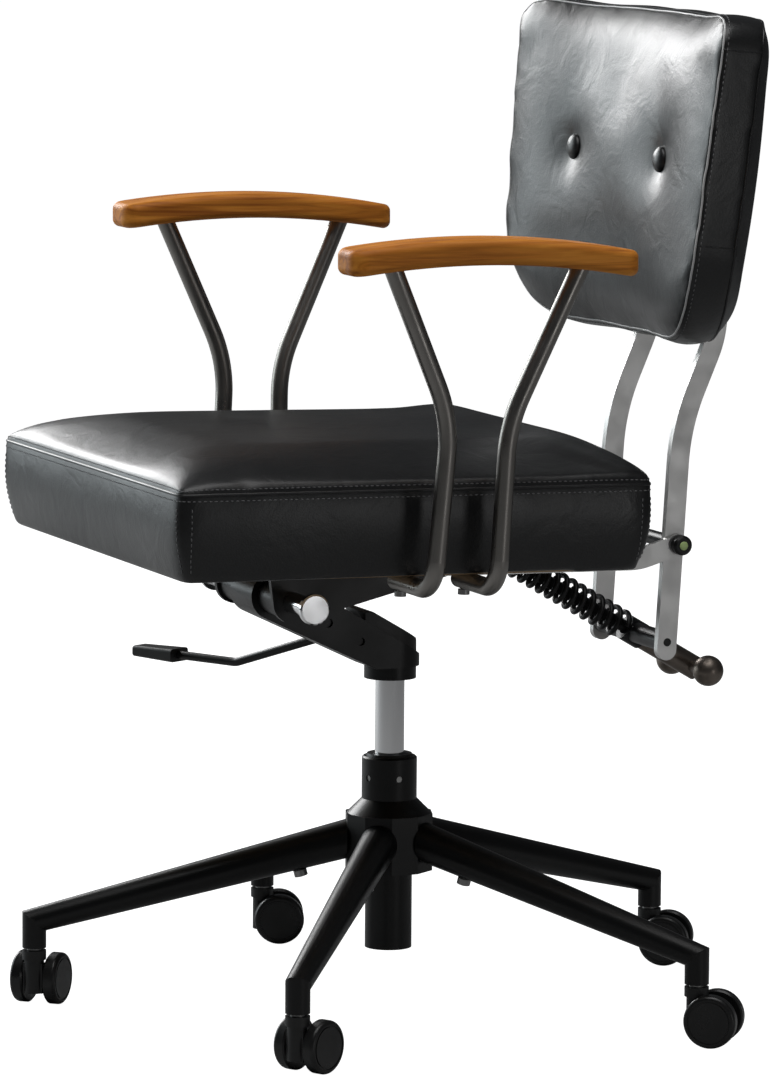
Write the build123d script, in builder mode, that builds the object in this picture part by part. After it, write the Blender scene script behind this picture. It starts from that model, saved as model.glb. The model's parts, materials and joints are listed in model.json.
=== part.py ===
from build123d import *
import os
from math import asin, atan, cos, hypot, pi, radians, sin, sqrt, tan

# Swivel armchair with a gas lift, a front-hinged seat tilt and a sprung back.
# Millimetres, +Z up, the sitter faces -Y and has +X on the left.
# The origin is on the floor, on the axis of the lift column.

# Five-star base
leg_count = 5
first_leg_angle = -108.43
stem_circle_radius = 340.0
hub_flat_radius = 41.0
hub_bottom = 132.0
hub_flats_height = 55.0
hub_cone_height = 14.0
hub_cone_step = 0.5
hub_neck_height = 41.0
hub_neck_chamfer = 1.5
hub_neck_radius = 26.5
leg_root_rise = 29.0
leg_tip_rise = 26.0
leg_root_diameter = 37.0
leg_tip_diameter = 24.0
leg_seat_gap = 0.1
leg_wall = 2.5
spigot_diameter = 25.0
spigot_length = 62.0
spigot_root = 15.0
spigot_end_gap = 1.0
spigot_clearance = 0.2
sleeve_bottom = 57.0
sleeve_diameter = 23.0
stem_hole_depth = 34.0
leg_bolt_radius_from_axis = 90.0
leg_bolt_diameter = 8.0
leg_bolt_head_diameter = 13.0
leg_bolt_head_height = 6.0
leg_bolt_head_gap = 0.25
bolt_clearance = 0.1
grub_screw_diameter = 6.0
grub_screw_rise = 21.0
grub_screw_sink = 1.2

# Casters
caster_trail_angles = (138.0, 120.7, 52.0, 56.0, 70.0)
caster_trail = 17.0
wheel_diameter = 50.0
wheel_width = 13.0
wheel_gap = 20.8
wheel_edge_radius = 4.0
wheel_groove_radius = 19.0
wheel_groove_width = 1.6
wheel_groove_depth = 1.0
wheel_cap_wall = 2.4
caster_web_clearance = 0.4
caster_collar_diameter = 23.0
caster_collar_height = 9.0
caster_neck_diameter = 19.0
caster_neck_bottom = 13.0
caster_boss_diameter = 22.0
caster_gap_under_sleeve = 2.5
stem_diameter = 10.9
stem_flange_diameter = 14.0
stem_socket_depth = 24.0
stem_end_gap = 2.0
axle_diameter = 8.0
running_clearance = 0.05

# Lift column
outer_tube_diameter = 45.0
outer_tube_wall = 2.0
outer_tube_bottom = 56.0
outer_tube_floor = 3.0
guide_bush_length = 92.0
guide_bush_lip = 2.5
bush_clearance = 0.1
cylinder_diameter = 28.0
cylinder_wall = 2.0
cylinder_bottom = 131.0
cylinder_seal = 20.0
taper_length = 27.0
taper_reduction = 1.4
cylinder_head = 8.0
piston_height = 12.0
piston_mid = 243.0
piston_rod_diameter = 10.0
rod_shoulder_diameter = 20.0
rod_shoulder_height = 4.0
bearing_diameter = 30.0
bearing_height = 7.0
button_diameter = 8.0
button_stand = 8.5
button_depth = 15.0

# Seat mechanism
socket_bottom = 317.6
socket_diameter = 50.0
socket_height = 23.4
arm_underside_rise = 12.4
torsion_y = -130.5
torsion_rise = 88.0
barrel_radius = 23.0
barrel_half_width = 28.0
pocket_half_width = 18.0
pocket_floor_gap = 2.9
pocket_rear = 14.0
pocket_front = -60.0
pocket_height = 19.5
pocket_ramp_length = 15.0
pocket_ramp_height = 5.5
pocket_mouth = -30.0
cover_front = -36.0
cover_height = 13.0
cover_wall = 3.0
cover_front_edge = 7.8
cover_front_chamfer = 8.0
cover_rear_chamfer_length = 4.0
cover_rear_chamfer_height = 6.0
dimple_depth = 3.0
front_dimple_y = -75.0
front_dimple_drop = 28.6
front_dimple_diameter = 9.0
rear_dimple_y = -41.5
rear_dimple_drop = 48.1
rear_dimple_diameter = 8.0
cover_seat_gap = 0.1
torsion_bush_wall = 2.0
torsion_bush_length = 24.0
torsion_shaft_diameter = 20.0
torsion_shaft_half_length = 127.0
torsion_disc_diameter = 29.0
torsion_disc_thickness = 6.0
cheek_inner = 71.5
cheek_thickness = 6.0
cheek_radius = 20.0
shaft_sleeve_diameter = 34.0
shaft_sleeve_gap = 1.0
seat_plate_width = 157.0
seat_plate_lead = 39.5
seat_plate_length = 255.0
seat_plate_thickness = 4.0
seat_plate_corner = 12.0
plate_bolt_inset = 20.0
cheek_front_inset = 15.0
cheek_rear_inset = 8.0
cheek_lip = 4.0

# Height lever
lever_azimuth = 28.0
lever_pivot_x = -28.0
lever_pivot_y = -52.0
lever_pivot_rise = 3.9
lever_rod_diameter = 8.5
lever_window_clearance = 1.3
lever_bend_reach = 117.6
lever_bend_drop = 38.0
lever_paddle_start = 191.0
lever_paddle_end = 244.0
lever_paddle_width = 26.0
lever_paddle_thickness = 13.0
lever_paddle_socket = 24.0
lever_tongue_inset = 18.0
lever_tongue_thickness = 5.0
lever_button_gap = 0.4
lever_inner_bend = 12.0
lever_outer_bend = 22.0

# Seat
seat_width = 488.0
seat_depth = 464.0
seat_middle_y = -73.0
seat_rise = 40.9
seat_slope = 0.9
seat_seam_height = 82.0
seat_crown = 36.0
seat_crown_rounding = 0.57
seat_crown_slack = 4.0
seat_corner_radius = 10.0
seat_under_inset = 5.0
seat_seam_inset = 0.8
pan_thickness = 12.0
pan_margin = 18.0
pan_clearance = 0.3
seat_bolt_diameter = 8.0
seat_bolt_head_diameter = 13.0
seat_bolt_head_height = 5.0
seat_bolt_length_in_pan = 9.0
small_bolt_head_diameter = 11.0

# Arms
arm_tube_diameter = 17.0
arm_tube_wall = 1.6
arm_tube_reach_under_seat = 59.0
arm_tube_foot_outset = 31.4
arm_tube_waist_outset = 40.8
arm_tube_top_outset = 49.0
front_tube_foot_y = -71.6
front_tube_waist_y = -60.5
front_tube_waist_rise = 149.5
front_tube_top_y = -121.0
rear_tube_foot_y = -8.0
rear_tube_waist_y = -2.9
rear_tube_waist_rise = 143.5
rear_tube_top_y = 62.5
arm_tube_foot_bend = 30.0
arm_tube_waist_bend = 140.0
arm_tube_seat_gap = 0.2
arm_bolt_inset = 47.0
arm_bolt_diameter = 6.0
arm_pad_outset = 52.0
arm_pad_width = 53.0
arm_pad_length = 284.0
arm_pad_middle_y = -28.5
arm_pad_rise = 291.9
arm_pad_arch_radius = 850.0
arm_pad_lean = 1.3
arm_pad_thickness = 24.0
arm_pad_corner_radius = 16.0
arm_pad_edge_radius = 7.0
arm_tube_socket_depth = 13.0

# Back brackets, pivot and bars
pivot_y = 264.0
pivot_drop = 2.1
pivot_shaft_diameter = 12.0
pivot_middle_diameter = 14.0
pivot_cap_diameter = 19.0
pivot_cap_thickness = 9.5
pivot_cap_cover = 2.0
bracket_lead = 15.0
bracket_turn_lead = 42.0
bracket_depth = 20.0
bracket_thickness = 6.0
bracket_seat_gap = 0.2
bracket_bend_radius = 60.0
bracket_foot_width = 22.0
bracket_foot_thickness = 5.0
bracket_foot_length = 110.0
bracket_foot_inset = 14.0
bracket_bolt_inset = 15.0
bar_inner_x = 71.0
bar_thickness = 8.0
bar_width = 20.0
bar_side_gap = 0.4
bar_foot_lead = 9.1
bar_foot_drop = 102.4
bar_knee_back = 4.0
bar_knee_rise = 114.6
bar_shoulder_back = 38.5
bar_shoulder_rise = 195.6
bar_top_rise = 120.0
bar_knee_radius = 210.0
bar_shoulder_radius = 100.0

# Spring linkage
trunnion_lead = 8.7
trunnion_drop = 94.9
anchor_y = 110.0
anchor_drop = 12.0
trunnion_diameter = 20.0
trunnion_boss_diameter = 26.0
trunnion_boss_half_length = 10.5
trunnion_journal_diameter = 8.0
trunnion_bore_clearance = 1.3
spring_rod_diameter = 12.0
rod_eye_diameter = 15.0
rod_eye_width = 14.0
anchor_pin_diameter = 8.0
anchor_ear_thickness = 5.0
anchor_ear_gap = 0.3
anchor_base_length = 60.0
anchor_base_thickness = 4.0
spring_seat_start = 16.0
spring_seat_thickness = 4.0
spring_seat_diameter = 29.0
spring_outer_diameter = 31.0
spring_wire = 5.4
spring_turns = 12
spring_end_gap = 0.3
handle_gap = 0.5
handle_boss_diameter = 23.0
handle_boss_length = 60.0
handle_arm_diameter = 13.0
handle_ball_diameter = 30.0
handle_ball_reach = 42.0
handle_bore_depth = 50.0
handle_end_chamfer = 2.0
handle_mouth_chamfer = 1.0

# Back
back_lead = 46.0
back_rise = 359.1
back_recline = 5.6
back_half_width = 226.0
back_taper = 0.078
back_half_height = 153.0
back_wrap = 40.0
back_band = 43.0
back_front_crown = 27.0
back_rear_crown = 35.0
back_top_swell = 2.0
back_seam_swell = 1.0
back_flatness = 5.0
back_shoulder_share = 0.16
back_shoulder_swell = 0.16
back_bottom_swell = 5.0
back_edge_crown = 3.0
back_top_corner = 30.0
back_bottom_corner = 92.0
panel_half_width = 165.0
panel_half_height = 118.0
panel_thickness = 12.0
panel_clearance = 0.3
button_face_diameter = 25.0
button_face_thickness = 7.0
button_edge_radius = 4.5
button_spread = 99.0
button_rise = 13.0
button_front_sink = 9.0
button_rear_sink = 6.0
tuft_diameter = 92.0
tuft_clearance = 0.3

# Heights and places that follow from the sizes above, from the floor up
hub_flats_top = hub_bottom + hub_flats_height
hub_neck_bottom = hub_flats_top + hub_cone_height
hub_neck_top = hub_neck_bottom + hub_neck_height
grub_screw_height = hub_neck_bottom + grub_screw_rise
leg_root_height = hub_bottom + leg_root_rise
leg_tip_height = sleeve_bottom + leg_tip_rise
taper_top = socket_bottom + taper_length
button_top = taper_top + button_stand
arm_underside_height = socket_bottom + arm_underside_rise
pocket_floor = taper_top + pocket_floor_gap
pocket_roof = pocket_floor + pocket_height
lever_pivot_z = button_top + lever_pivot_rise
lever_bend_height = lever_pivot_z - lever_bend_drop
torsion_z = socket_bottom + torsion_rise
seat_plate_front = torsion_y - seat_plate_lead
seat_plate_rear = seat_plate_front + seat_plate_length
seat_underside = torsion_z + seat_rise
arm_tube_inner_end = seat_width / 2 - arm_tube_reach_under_seat
arm_tube_foot_x = seat_width / 2 + arm_tube_foot_outset
arm_tube_waist_x = seat_width / 2 + arm_tube_waist_outset
arm_tube_top_x = seat_width / 2 + arm_tube_top_outset
arm_bolt_x = seat_width / 2 - arm_bolt_inset
arm_pad_x = seat_width / 2 + arm_pad_outset
front_tube_waist_z = seat_underside + front_tube_waist_rise
rear_tube_waist_z = seat_underside + rear_tube_waist_rise
arm_pad_underside = seat_underside + arm_pad_rise
bracket_foot_rear = seat_middle_y + seat_depth / 2 - bracket_foot_inset
bracket_foot_front = bracket_foot_rear - bracket_foot_length
bracket_start_y = bracket_foot_front - bracket_lead
bracket_turn_y = pivot_y - bracket_turn_lead
pivot_z = seat_underside - pivot_drop
bar_foot_y = pivot_y - bar_foot_lead
bar_foot_z = pivot_z - bar_foot_drop
bar_knee_y = pivot_y + bar_knee_back
bar_knee_z = pivot_z + bar_knee_rise
bar_shoulder_y = pivot_y + bar_shoulder_back
bar_shoulder_z = pivot_z + bar_shoulder_rise
trunnion_y = pivot_y - trunnion_lead
trunnion_z = pivot_z - trunnion_drop
anchor_z = seat_underside - anchor_drop
back_origin_y = pivot_y - back_lead
back_origin_z = pivot_z + back_rise

os.makedirs("parts", exist_ok=True)


def save(builder, name):
    """Label a finished piece and write its file."""
    builder.part.label = name
    export_step(builder.part, "parts/" + name + ".step")


def radial_plane(angle):
    """Upright plane through the column axis: local x is the radius, local y the height."""
    outward = Vector(cos(radians(angle)), sin(radians(angle)), 0)
    return Plane(origin=(0, 0, 0), x_dir=outward, z_dir=outward.cross(Vector(0, 0, 1)))


def spot(angle, radius, height=0.0):
    """Point at a radius from the column axis."""
    return Vector(radius * cos(radians(angle)), radius * sin(radians(angle)), height)


# Five-star base
leg_angles = [first_leg_angle + 360.0 / leg_count * k for k in range(leg_count)]
leg_root_radius = hub_flat_radius
leg_lean = atan((leg_root_height - leg_tip_height) / (stem_circle_radius - leg_root_radius))


def leg_axis_point(radius):
    """Point of the leg's centre line, in its radial plane."""
    return Vector(radius, leg_root_height - (radius - leg_root_radius) * tan(leg_lean))


def leg_radius_at(radius):
    """Half of the leg's diameter where its centre line is at this radius."""
    share = (radius - leg_root_radius) / (stem_circle_radius - leg_root_radius)
    return (leg_root_diameter + (leg_tip_diameter - leg_root_diameter) * share) / 2


leg_along = Vector(cos(leg_lean), -sin(leg_lean))
leg_across = Vector(sin(leg_lean), cos(leg_lean))
spigot_end_radius = hub_flat_radius + spigot_length
spigot_radius = spigot_diameter / 2
leg_bore_radius = spigot_radius + spigot_clearance
leg_bolt_hole_radius = leg_bolt_diameter / 2 + bolt_clearance


def leg_bolt_plane(angle, distance):
    """Plane square to the leg, below its centre line, that a leg bolt runs along."""
    plane = radial_plane(angle)
    at = leg_axis_point(leg_bolt_radius_from_axis) - leg_across * distance
    down = plane.from_local_coords(leg_across * -1) - plane.from_local_coords((0, 0))
    return Plane(origin=plane.from_local_coords(at), z_dir=down)


with BuildPart() as base_hub:
    with BuildSketch(Plane.XY.offset(hub_bottom)):
        RegularPolygon(hub_flat_radius, 2 * leg_count, major_radius=False,
                       rotation=first_leg_angle + 180.0 / (2 * leg_count))
    extrude(amount=hub_flats_top - hub_bottom)
    with BuildSketch(Plane.XZ):
        with BuildLine():
            Polyline((0, hub_flats_top), (hub_flat_radius - hub_cone_step, hub_flats_top),
                     (hub_neck_radius, hub_neck_bottom), (hub_neck_radius, hub_neck_top - hub_neck_chamfer),
                     (hub_neck_radius - hub_neck_chamfer, hub_neck_top), (0, hub_neck_top), close=True)
        make_face()
    revolve(axis=Axis.Z)
    for angle in leg_angles:
        upright = radial_plane(angle)
        start = upright.from_local_coords(leg_axis_point(hub_flat_radius - spigot_root))
        end = upright.from_local_coords(leg_axis_point(spigot_end_radius))
        with BuildSketch(Plane(origin=start, z_dir=end - start)):
            Circle(spigot_radius)
        extrude(amount=(end - start).length)
    with BuildSketch(Plane.XY.offset(hub_bottom)):
        Circle(outer_tube_diameter / 2 + bush_clearance)
    extrude(amount=hub_neck_top - hub_bottom, mode=Mode.SUBTRACT)
    for angle in leg_angles:
        with BuildSketch(leg_bolt_plane(angle, spigot_radius / 4)):
            Circle(leg_bolt_hole_radius)
        extrude(amount=spigot_radius, mode=Mode.SUBTRACT)
        between = angle + 180.0 / leg_count
        grub_plane = Plane(origin=spot(between, 0, grub_screw_height), z_dir=spot(between, 1))
        with BuildSketch(grub_plane):
            Circle(grub_screw_diameter / 2 + bolt_clearance)
        extrude(amount=2 * hub_neck_radius, mode=Mode.SUBTRACT)
save(base_hub, "base_hub")

for number, angle in enumerate(leg_angles, 1):
    upright = radial_plane(angle)
    level = Plane(origin=(0, 0, 0), x_dir=spot(angle, 1), z_dir=(0, 0, 1))
    with BuildPart() as base_leg:
        root = leg_axis_point(leg_root_radius - leg_root_diameter / 2)
        bore_end = leg_axis_point(spigot_end_radius + spigot_end_gap)
        hollow_end = leg_axis_point(stem_circle_radius - sleeve_diameter)
        tip = leg_axis_point(stem_circle_radius + sleeve_diameter)
        with BuildSketch(upright):
            with BuildLine():
                Polyline(root + leg_across * leg_bore_radius,
                         root + leg_across * leg_radius_at(root.X),
                         tip + leg_across * leg_radius_at(tip.X), tip, hollow_end,
                         hollow_end + leg_across * (leg_radius_at(hollow_end.X) - leg_wall),
                         bore_end + leg_across * (leg_radius_at(bore_end.X) - leg_wall),
                         bore_end + leg_across * leg_bore_radius, close=True)
            make_face()
        axis_start = upright.from_local_coords(root)
        revolve(axis=Axis(axis_start, upright.from_local_coords(tip) - axis_start))
        with BuildSketch(level):
            with Locations((stem_circle_radius + sleeve_diameter, 0)):
                Rectangle(2 * sleeve_diameter, 3 * sleeve_diameter)
            with Locations((stem_circle_radius, 0)):
                Circle(sleeve_diameter / 2, mode=Mode.SUBTRACT)
            with Locations((0, 0)):
                Rectangle(2 * (hub_flat_radius + leg_seat_gap), 2 * leg_root_diameter)
        extrude(amount=leg_root_height + leg_root_diameter, mode=Mode.SUBTRACT)
        with BuildSketch(level.offset(sleeve_bottom)):
            with Locations((stem_circle_radius, 0)):
                Circle(sleeve_diameter / 2)
        extrude(amount=leg_tip_height - sleeve_bottom)
        with BuildSketch(level.offset(sleeve_bottom)):
            with Locations((stem_circle_radius, 0)):
                Circle(stem_diameter / 2 + running_clearance)
        extrude(amount=stem_hole_depth, mode=Mode.SUBTRACT)
        with BuildSketch(leg_bolt_plane(angle, 0)):
            Circle(leg_bolt_hole_radius)
        extrude(amount=leg_root_diameter, mode=Mode.SUBTRACT)
    save(base_leg, "base_leg_" + str(number))

with BuildPart() as base_bolts:
    leg_surface = leg_radius_at(leg_bolt_radius_from_axis) + leg_bolt_head_gap
    for angle in leg_angles:
        with BuildSketch(leg_bolt_plane(angle, spigot_radius / 4)):
            Circle(leg_bolt_diameter / 2)
        extrude(amount=leg_surface + leg_bolt_head_height / 2 - spigot_radius / 4)
        with BuildSketch(leg_bolt_plane(angle, leg_surface)):
            Circle(leg_bolt_head_diameter / 2)
        extrude(amount=leg_bolt_head_height)
        between = angle + 180.0 / leg_count
        grub_start = outer_tube_diameter / 2 + bush_clearance
        with BuildSketch(Plane(origin=spot(between, grub_start, grub_screw_height), z_dir=spot(between, 1))):
            Circle(grub_screw_diameter / 2)
        extrude(amount=hub_neck_radius - grub_screw_sink - grub_start)
save(base_bolts, "base_bolts")

# Lift column, turned about the column axis
tube_bore_radius = outer_tube_diameter / 2 - outer_tube_wall
bearing_bottom = outer_tube_bottom + outer_tube_floor
bearing_top = bearing_bottom + bearing_height
rod_hole_radius = piston_rod_diameter / 2 + running_clearance

with BuildPart() as lift_outer_tube:
    with BuildSketch(Plane.XZ):
        with BuildLine():
            Polyline((rod_hole_radius, outer_tube_bottom), (outer_tube_diameter / 2, outer_tube_bottom),
                     (outer_tube_diameter / 2, hub_neck_top), (tube_bore_radius, hub_neck_top),
                     (tube_bore_radius, bearing_bottom), (rod_hole_radius, bearing_bottom), close=True)
        make_face()
    revolve(axis=Axis.Z)
save(lift_outer_tube, "lift_outer_tube")

with BuildPart() as lift_guide_bush:
    bush_radius = tube_bore_radius - bush_clearance
    guide_radius = cylinder_diameter / 2 + running_clearance
    lip_radius = outer_tube_diameter / 2
    with BuildSketch(Plane.XZ):
        with BuildLine():
            Polyline((guide_radius, hub_neck_top - guide_bush_length),
                     (bush_radius, hub_neck_top - guide_bush_length), (bush_radius, hub_neck_top),
                     (lip_radius, hub_neck_top), (lip_radius - 1, hub_neck_top + guide_bush_lip),
                     (guide_radius, hub_neck_top + guide_bush_lip), close=True)
        make_face()
    revolve(axis=Axis.Z)
save(lift_guide_bush, "lift_guide_bush")

with BuildPart() as thrust_bearing:
    with BuildSketch(Plane.XY.offset(bearing_bottom)):
        Circle(bearing_diameter / 2)
        Circle(piston_rod_diameter / 2 + bush_clearance, mode=Mode.SUBTRACT)
    extrude(amount=bearing_height)
save(thrust_bearing, "thrust_bearing")

with BuildPart() as piston_rod:
    shoulder_bottom = bearing_top + bush_clearance
    shoulder_top = shoulder_bottom + rod_shoulder_height
    piston_radius = cylinder_diameter / 2 - cylinder_wall - running_clearance
    piston_bottom = piston_mid - piston_height / 2
    with BuildSketch(Plane.XZ):
        with BuildLine():
            Polyline((0, outer_tube_bottom + 1), (piston_rod_diameter / 2, outer_tube_bottom + 1),
                     (piston_rod_diameter / 2, shoulder_bottom), (rod_shoulder_diameter / 2, shoulder_bottom),
                     (rod_shoulder_diameter / 2, shoulder_top), (piston_rod_diameter / 2, shoulder_top),
                     (piston_rod_diameter / 2, piston_bottom), (piston_radius, piston_bottom),
                     (piston_radius, piston_bottom + piston_height), (0, piston_bottom + piston_height),
                     close=True)
        make_face()
    revolve(axis=Axis.Z)
save(piston_rod, "piston_rod")

head_radius = (cylinder_diameter - taper_reduction) / 2
cylinder_bore_radius = cylinder_diameter / 2 - cylinder_wall
button_hole_radius = button_diameter / 2 + running_clearance

with BuildPart() as lift_cylinder:
    with BuildSketch(Plane.XZ):
        with BuildLine():
            Polyline((rod_hole_radius, cylinder_bottom), (cylinder_diameter / 2, cylinder_bottom),
                     (cylinder_diameter / 2, socket_bottom), (head_radius, taper_top),
                     (button_hole_radius, taper_top), (button_hole_radius, taper_top - cylinder_head),
                     (head_radius - cylinder_wall, taper_top - cylinder_head),
                     (cylinder_bore_radius, socket_bottom),
                     (cylinder_bore_radius, cylinder_bottom + cylinder_seal),
                     (rod_hole_radius, cylinder_bottom + cylinder_seal), close=True)
        make_face()
    revolve(axis=Axis.Z)
save(lift_cylinder, "lift_cylinder")

with BuildPart() as release_button:
    with BuildSketch(Plane.XY.offset(button_top)):
        Circle(button_diameter / 2)
    extrude(amount=-(button_stand + button_depth))
    fillet(release_button.edges().group_by(Axis.Z)[-1], radius=1.5)
save(release_button, "release_button")

# Casters: the trail runs from the stem to the axle
stem_top = sleeve_bottom + stem_hole_depth - stem_end_gap
caster_top = sleeve_bottom - caster_gap_under_sleeve
wheel_radius = wheel_diameter / 2
wheel_inner = wheel_gap / 2
wheel_outer = wheel_inner + wheel_width
web_half = wheel_inner - caster_web_clearance
axle_half = wheel_outer - wheel_cap_wall - caster_web_clearance

for number, angle in enumerate(leg_angles, 1):
    stem = spot(angle, stem_circle_radius)
    trail_angle = caster_trail_angles[number - 1]
    trail_way = spot(trail_angle, 1)
    axle_way = spot(trail_angle + 90, 1)
    axle_spot = stem + trail_way * caster_trail + Vector(0, 0, wheel_radius)
    side = Plane(origin=stem, x_dir=trail_way, z_dir=trail_way.cross(Vector(0, 0, 1)))
    turning = Plane(origin=axle_spot, x_dir=axle_way, z_dir=axle_way.cross(Vector(0, 0, 1)))
    axle_axis = Axis(axle_spot, axle_way)

    with BuildPart() as caster_housing:
        with BuildSketch(side):
            with Locations((caster_trail, wheel_radius)):
                Circle(caster_boss_diameter / 2)
            with Locations((0, (caster_neck_bottom + wheel_diameter) / 2 - 4)):
                Rectangle(caster_neck_diameter / 2, wheel_diameter - caster_neck_bottom - 8)
            make_hull()
        extrude(amount=web_half, both=True)
        with BuildSketch(Plane(origin=stem).offset(caster_neck_bottom)):
            Circle(caster_neck_diameter / 2)
        extrude(amount=caster_top - caster_neck_bottom)
        with BuildSketch(Plane(origin=stem).offset(caster_top - caster_collar_height)):
            Circle(caster_collar_diameter / 2)
        extrude(amount=caster_collar_height)
        with BuildSketch(Plane(origin=stem).offset(caster_top - stem_socket_depth)):
            Circle(stem_diameter / 2 + bush_clearance)
        extrude(amount=stem_socket_depth, mode=Mode.SUBTRACT)
        with BuildSketch(Plane(origin=axle_spot, z_dir=axle_way)):
            Circle(axle_diameter / 2 + running_clearance)
        extrude(amount=wheel_gap, both=True, mode=Mode.SUBTRACT)
        for way in (1, -1):
            with BuildSketch(turning):
                with Locations((way * (wheel_inner + wheel_width / 2 - caster_web_clearance), 0)):
                    Rectangle(wheel_width, wheel_radius + caster_web_clearance, align=(Align.CENTER, Align.MIN))
            revolve(axis=axle_axis, mode=Mode.SUBTRACT)
    save(caster_housing, "caster_housing_" + str(number))

    with BuildPart() as caster_pins:
        with BuildSketch(Plane(origin=stem).offset(caster_top - stem_socket_depth + bush_clearance)):
            Circle(stem_diameter / 2)
        extrude(amount=stem_top - caster_top + stem_socket_depth - bush_clearance)
        with BuildSketch(Plane(origin=stem).offset(caster_top + bush_clearance)):
            Circle(stem_flange_diameter / 2)
        extrude(amount=caster_gap_under_sleeve - 3 * bush_clearance)
        with BuildSketch(Plane(origin=axle_spot, z_dir=axle_way)):
            Circle(axle_diameter / 2)
        extrude(amount=axle_half, both=True)
    save(caster_pins, "caster_pins_" + str(number))

    for letter, way in (("a", 1), ("b", -1)):
        with BuildPart() as caster_wheel:
            bore = axle_diameter / 2 + running_clearance
            with BuildSketch(turning):
                with BuildLine():
                    Polyline((way * wheel_inner, bore), (way * wheel_inner, wheel_radius - 1.5),
                             (way * (wheel_inner + 1.5), wheel_radius),
                             (way * (wheel_outer - wheel_edge_radius), wheel_radius))
                    TangentArc((way * (wheel_outer - wheel_edge_radius), wheel_radius),
                               (way * wheel_outer, wheel_radius - wheel_edge_radius), tangent=(way, 0))
                    Polyline((way * wheel_outer, wheel_radius - wheel_edge_radius),
                             (way * wheel_outer, wheel_groove_radius + wheel_groove_width),
                             (way * (wheel_outer - wheel_groove_depth), wheel_groove_radius + wheel_groove_width),
                             (way * (wheel_outer - wheel_groove_depth), wheel_groove_radius),
                             (way * wheel_outer, wheel_groove_radius), (way * wheel_outer, 0),
                             (way * (wheel_outer - wheel_cap_wall), 0),
                             (way * (wheel_outer - wheel_cap_wall), bore), (way * wheel_inner, bore))
                make_face()
            revolve(axis=axle_axis)
        save(caster_wheel, "caster_wheel_" + str(number) + letter)

# Seat frame: the underside of the seat slopes down to the rear
slope = radians(seat_slope)
seat_plane = Plane(origin=(0, seat_middle_y, seat_underside), x_dir=(1, 0, 0), z_dir=(0, sin(slope), cos(slope)))


def underside_at(y):
    """Height of the seat's underside."""
    return seat_underside - (y - seat_middle_y) * tan(slope)


# Mechanism housing: an arm from the taper socket up to the torsion barrel
socket_radius = socket_diameter / 2
socket_top = socket_bottom + socket_height
arm_run = socket_radius - torsion_y
arm_rise = torsion_z - socket_top
arm_slope = tan(atan(arm_rise / arm_run) + asin(barrel_radius / hypot(arm_run, arm_rise)))


def arm_top_at(y):
    """Height of the arm's sloping upper face."""
    return socket_top + (socket_radius - y) * arm_slope


lever_out = Vector(-cos(radians(lever_azimuth)), -sin(radians(lever_azimuth)), 0)
lever_pivot = Vector(lever_pivot_x, lever_pivot_y, lever_pivot_z)
torsion_plane = Plane(origin=(0, torsion_y, torsion_z), x_dir=(1, 0, 0), z_dir=(0, -1, 0))
torsion_axis = Axis((0, torsion_y, torsion_z), (1, 0, 0))
dimples = ((front_dimple_y, torsion_z - front_dimple_drop, front_dimple_diameter),
           (rear_dimple_y, torsion_z - rear_dimple_drop, rear_dimple_diameter))
torsion_bore_radius = torsion_shaft_diameter / 2 + running_clearance + torsion_bush_wall + bush_clearance

with BuildPart() as mechanism_housing:
    with BuildSketch(Plane.YZ):
        with Locations((torsion_y, torsion_z)):
            Circle(barrel_radius)
        with Locations((0, (arm_underside_height + socket_top) / 2)):
            Rectangle(socket_diameter, socket_top - arm_underside_height)
        make_hull()
    extrude(amount=barrel_half_width, both=True)
    with BuildSketch(Plane.XY.offset(arm_underside_height - 1)):
        Rectangle(3 * socket_diameter, 2 * socket_diameter)
        with Locations((0, -socket_radius)):
            Rectangle(2 * barrel_half_width, socket_diameter, mode=Mode.SUBTRACT)
        Circle(barrel_half_width, mode=Mode.SUBTRACT)
    extrude(amount=socket_diameter, mode=Mode.SUBTRACT)
    with BuildSketch(Plane.XY.offset(socket_bottom)):
        Circle(socket_radius)
    extrude(amount=socket_height)
    with BuildSketch(Plane.XZ):
        with BuildLine():
            Polyline((0, socket_bottom), (cylinder_diameter / 2 + bush_clearance, socket_bottom),
                     (head_radius + bush_clearance, taper_top), (head_radius + bush_clearance, pocket_floor),
                     (0, pocket_floor), close=True)
        make_face()
    revolve(axis=Axis.Z, mode=Mode.SUBTRACT)
    with BuildSketch(Plane.YZ):
        with BuildLine():
            Polyline((pocket_rear, pocket_floor), (pocket_front + pocket_ramp_length, pocket_floor),
                     (pocket_front, pocket_floor + pocket_ramp_height), (pocket_front, pocket_roof),
                     (pocket_mouth, pocket_roof), (pocket_mouth, pocket_roof + socket_diameter),
                     (pocket_rear, pocket_roof + socket_diameter), close=True)
        make_face()
    extrude(amount=pocket_half_width, both=True, mode=Mode.SUBTRACT)
    window_height = lever_rod_diameter + 2 * lever_window_clearance
    with BuildSketch(Plane.YZ.offset(-barrel_half_width - 1)):
        with Locations((lever_pivot_y, lever_pivot_z)):
            Rectangle(3 * lever_rod_diameter, window_height)
    extrude(amount=barrel_half_width - pocket_half_width + 2, mode=Mode.SUBTRACT)
    with BuildSketch(torsion_plane):
        Rectangle(2.1 * barrel_half_width, torsion_bore_radius, align=(Align.CENTER, Align.MIN))
    revolve(axis=torsion_axis, mode=Mode.SUBTRACT)
    with BuildSketch(Plane.YZ.offset(barrel_half_width)):
        for y, z, size in dimples:
            with Locations((y, z)):
                Circle(size / 2)
    extrude(amount=-dimple_depth, mode=Mode.SUBTRACT)
save(mechanism_housing, "mechanism_housing")

cover_brow = cover_front + cover_front_chamfer
cover_crest = socket_radius - cover_rear_chamfer_length

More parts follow.
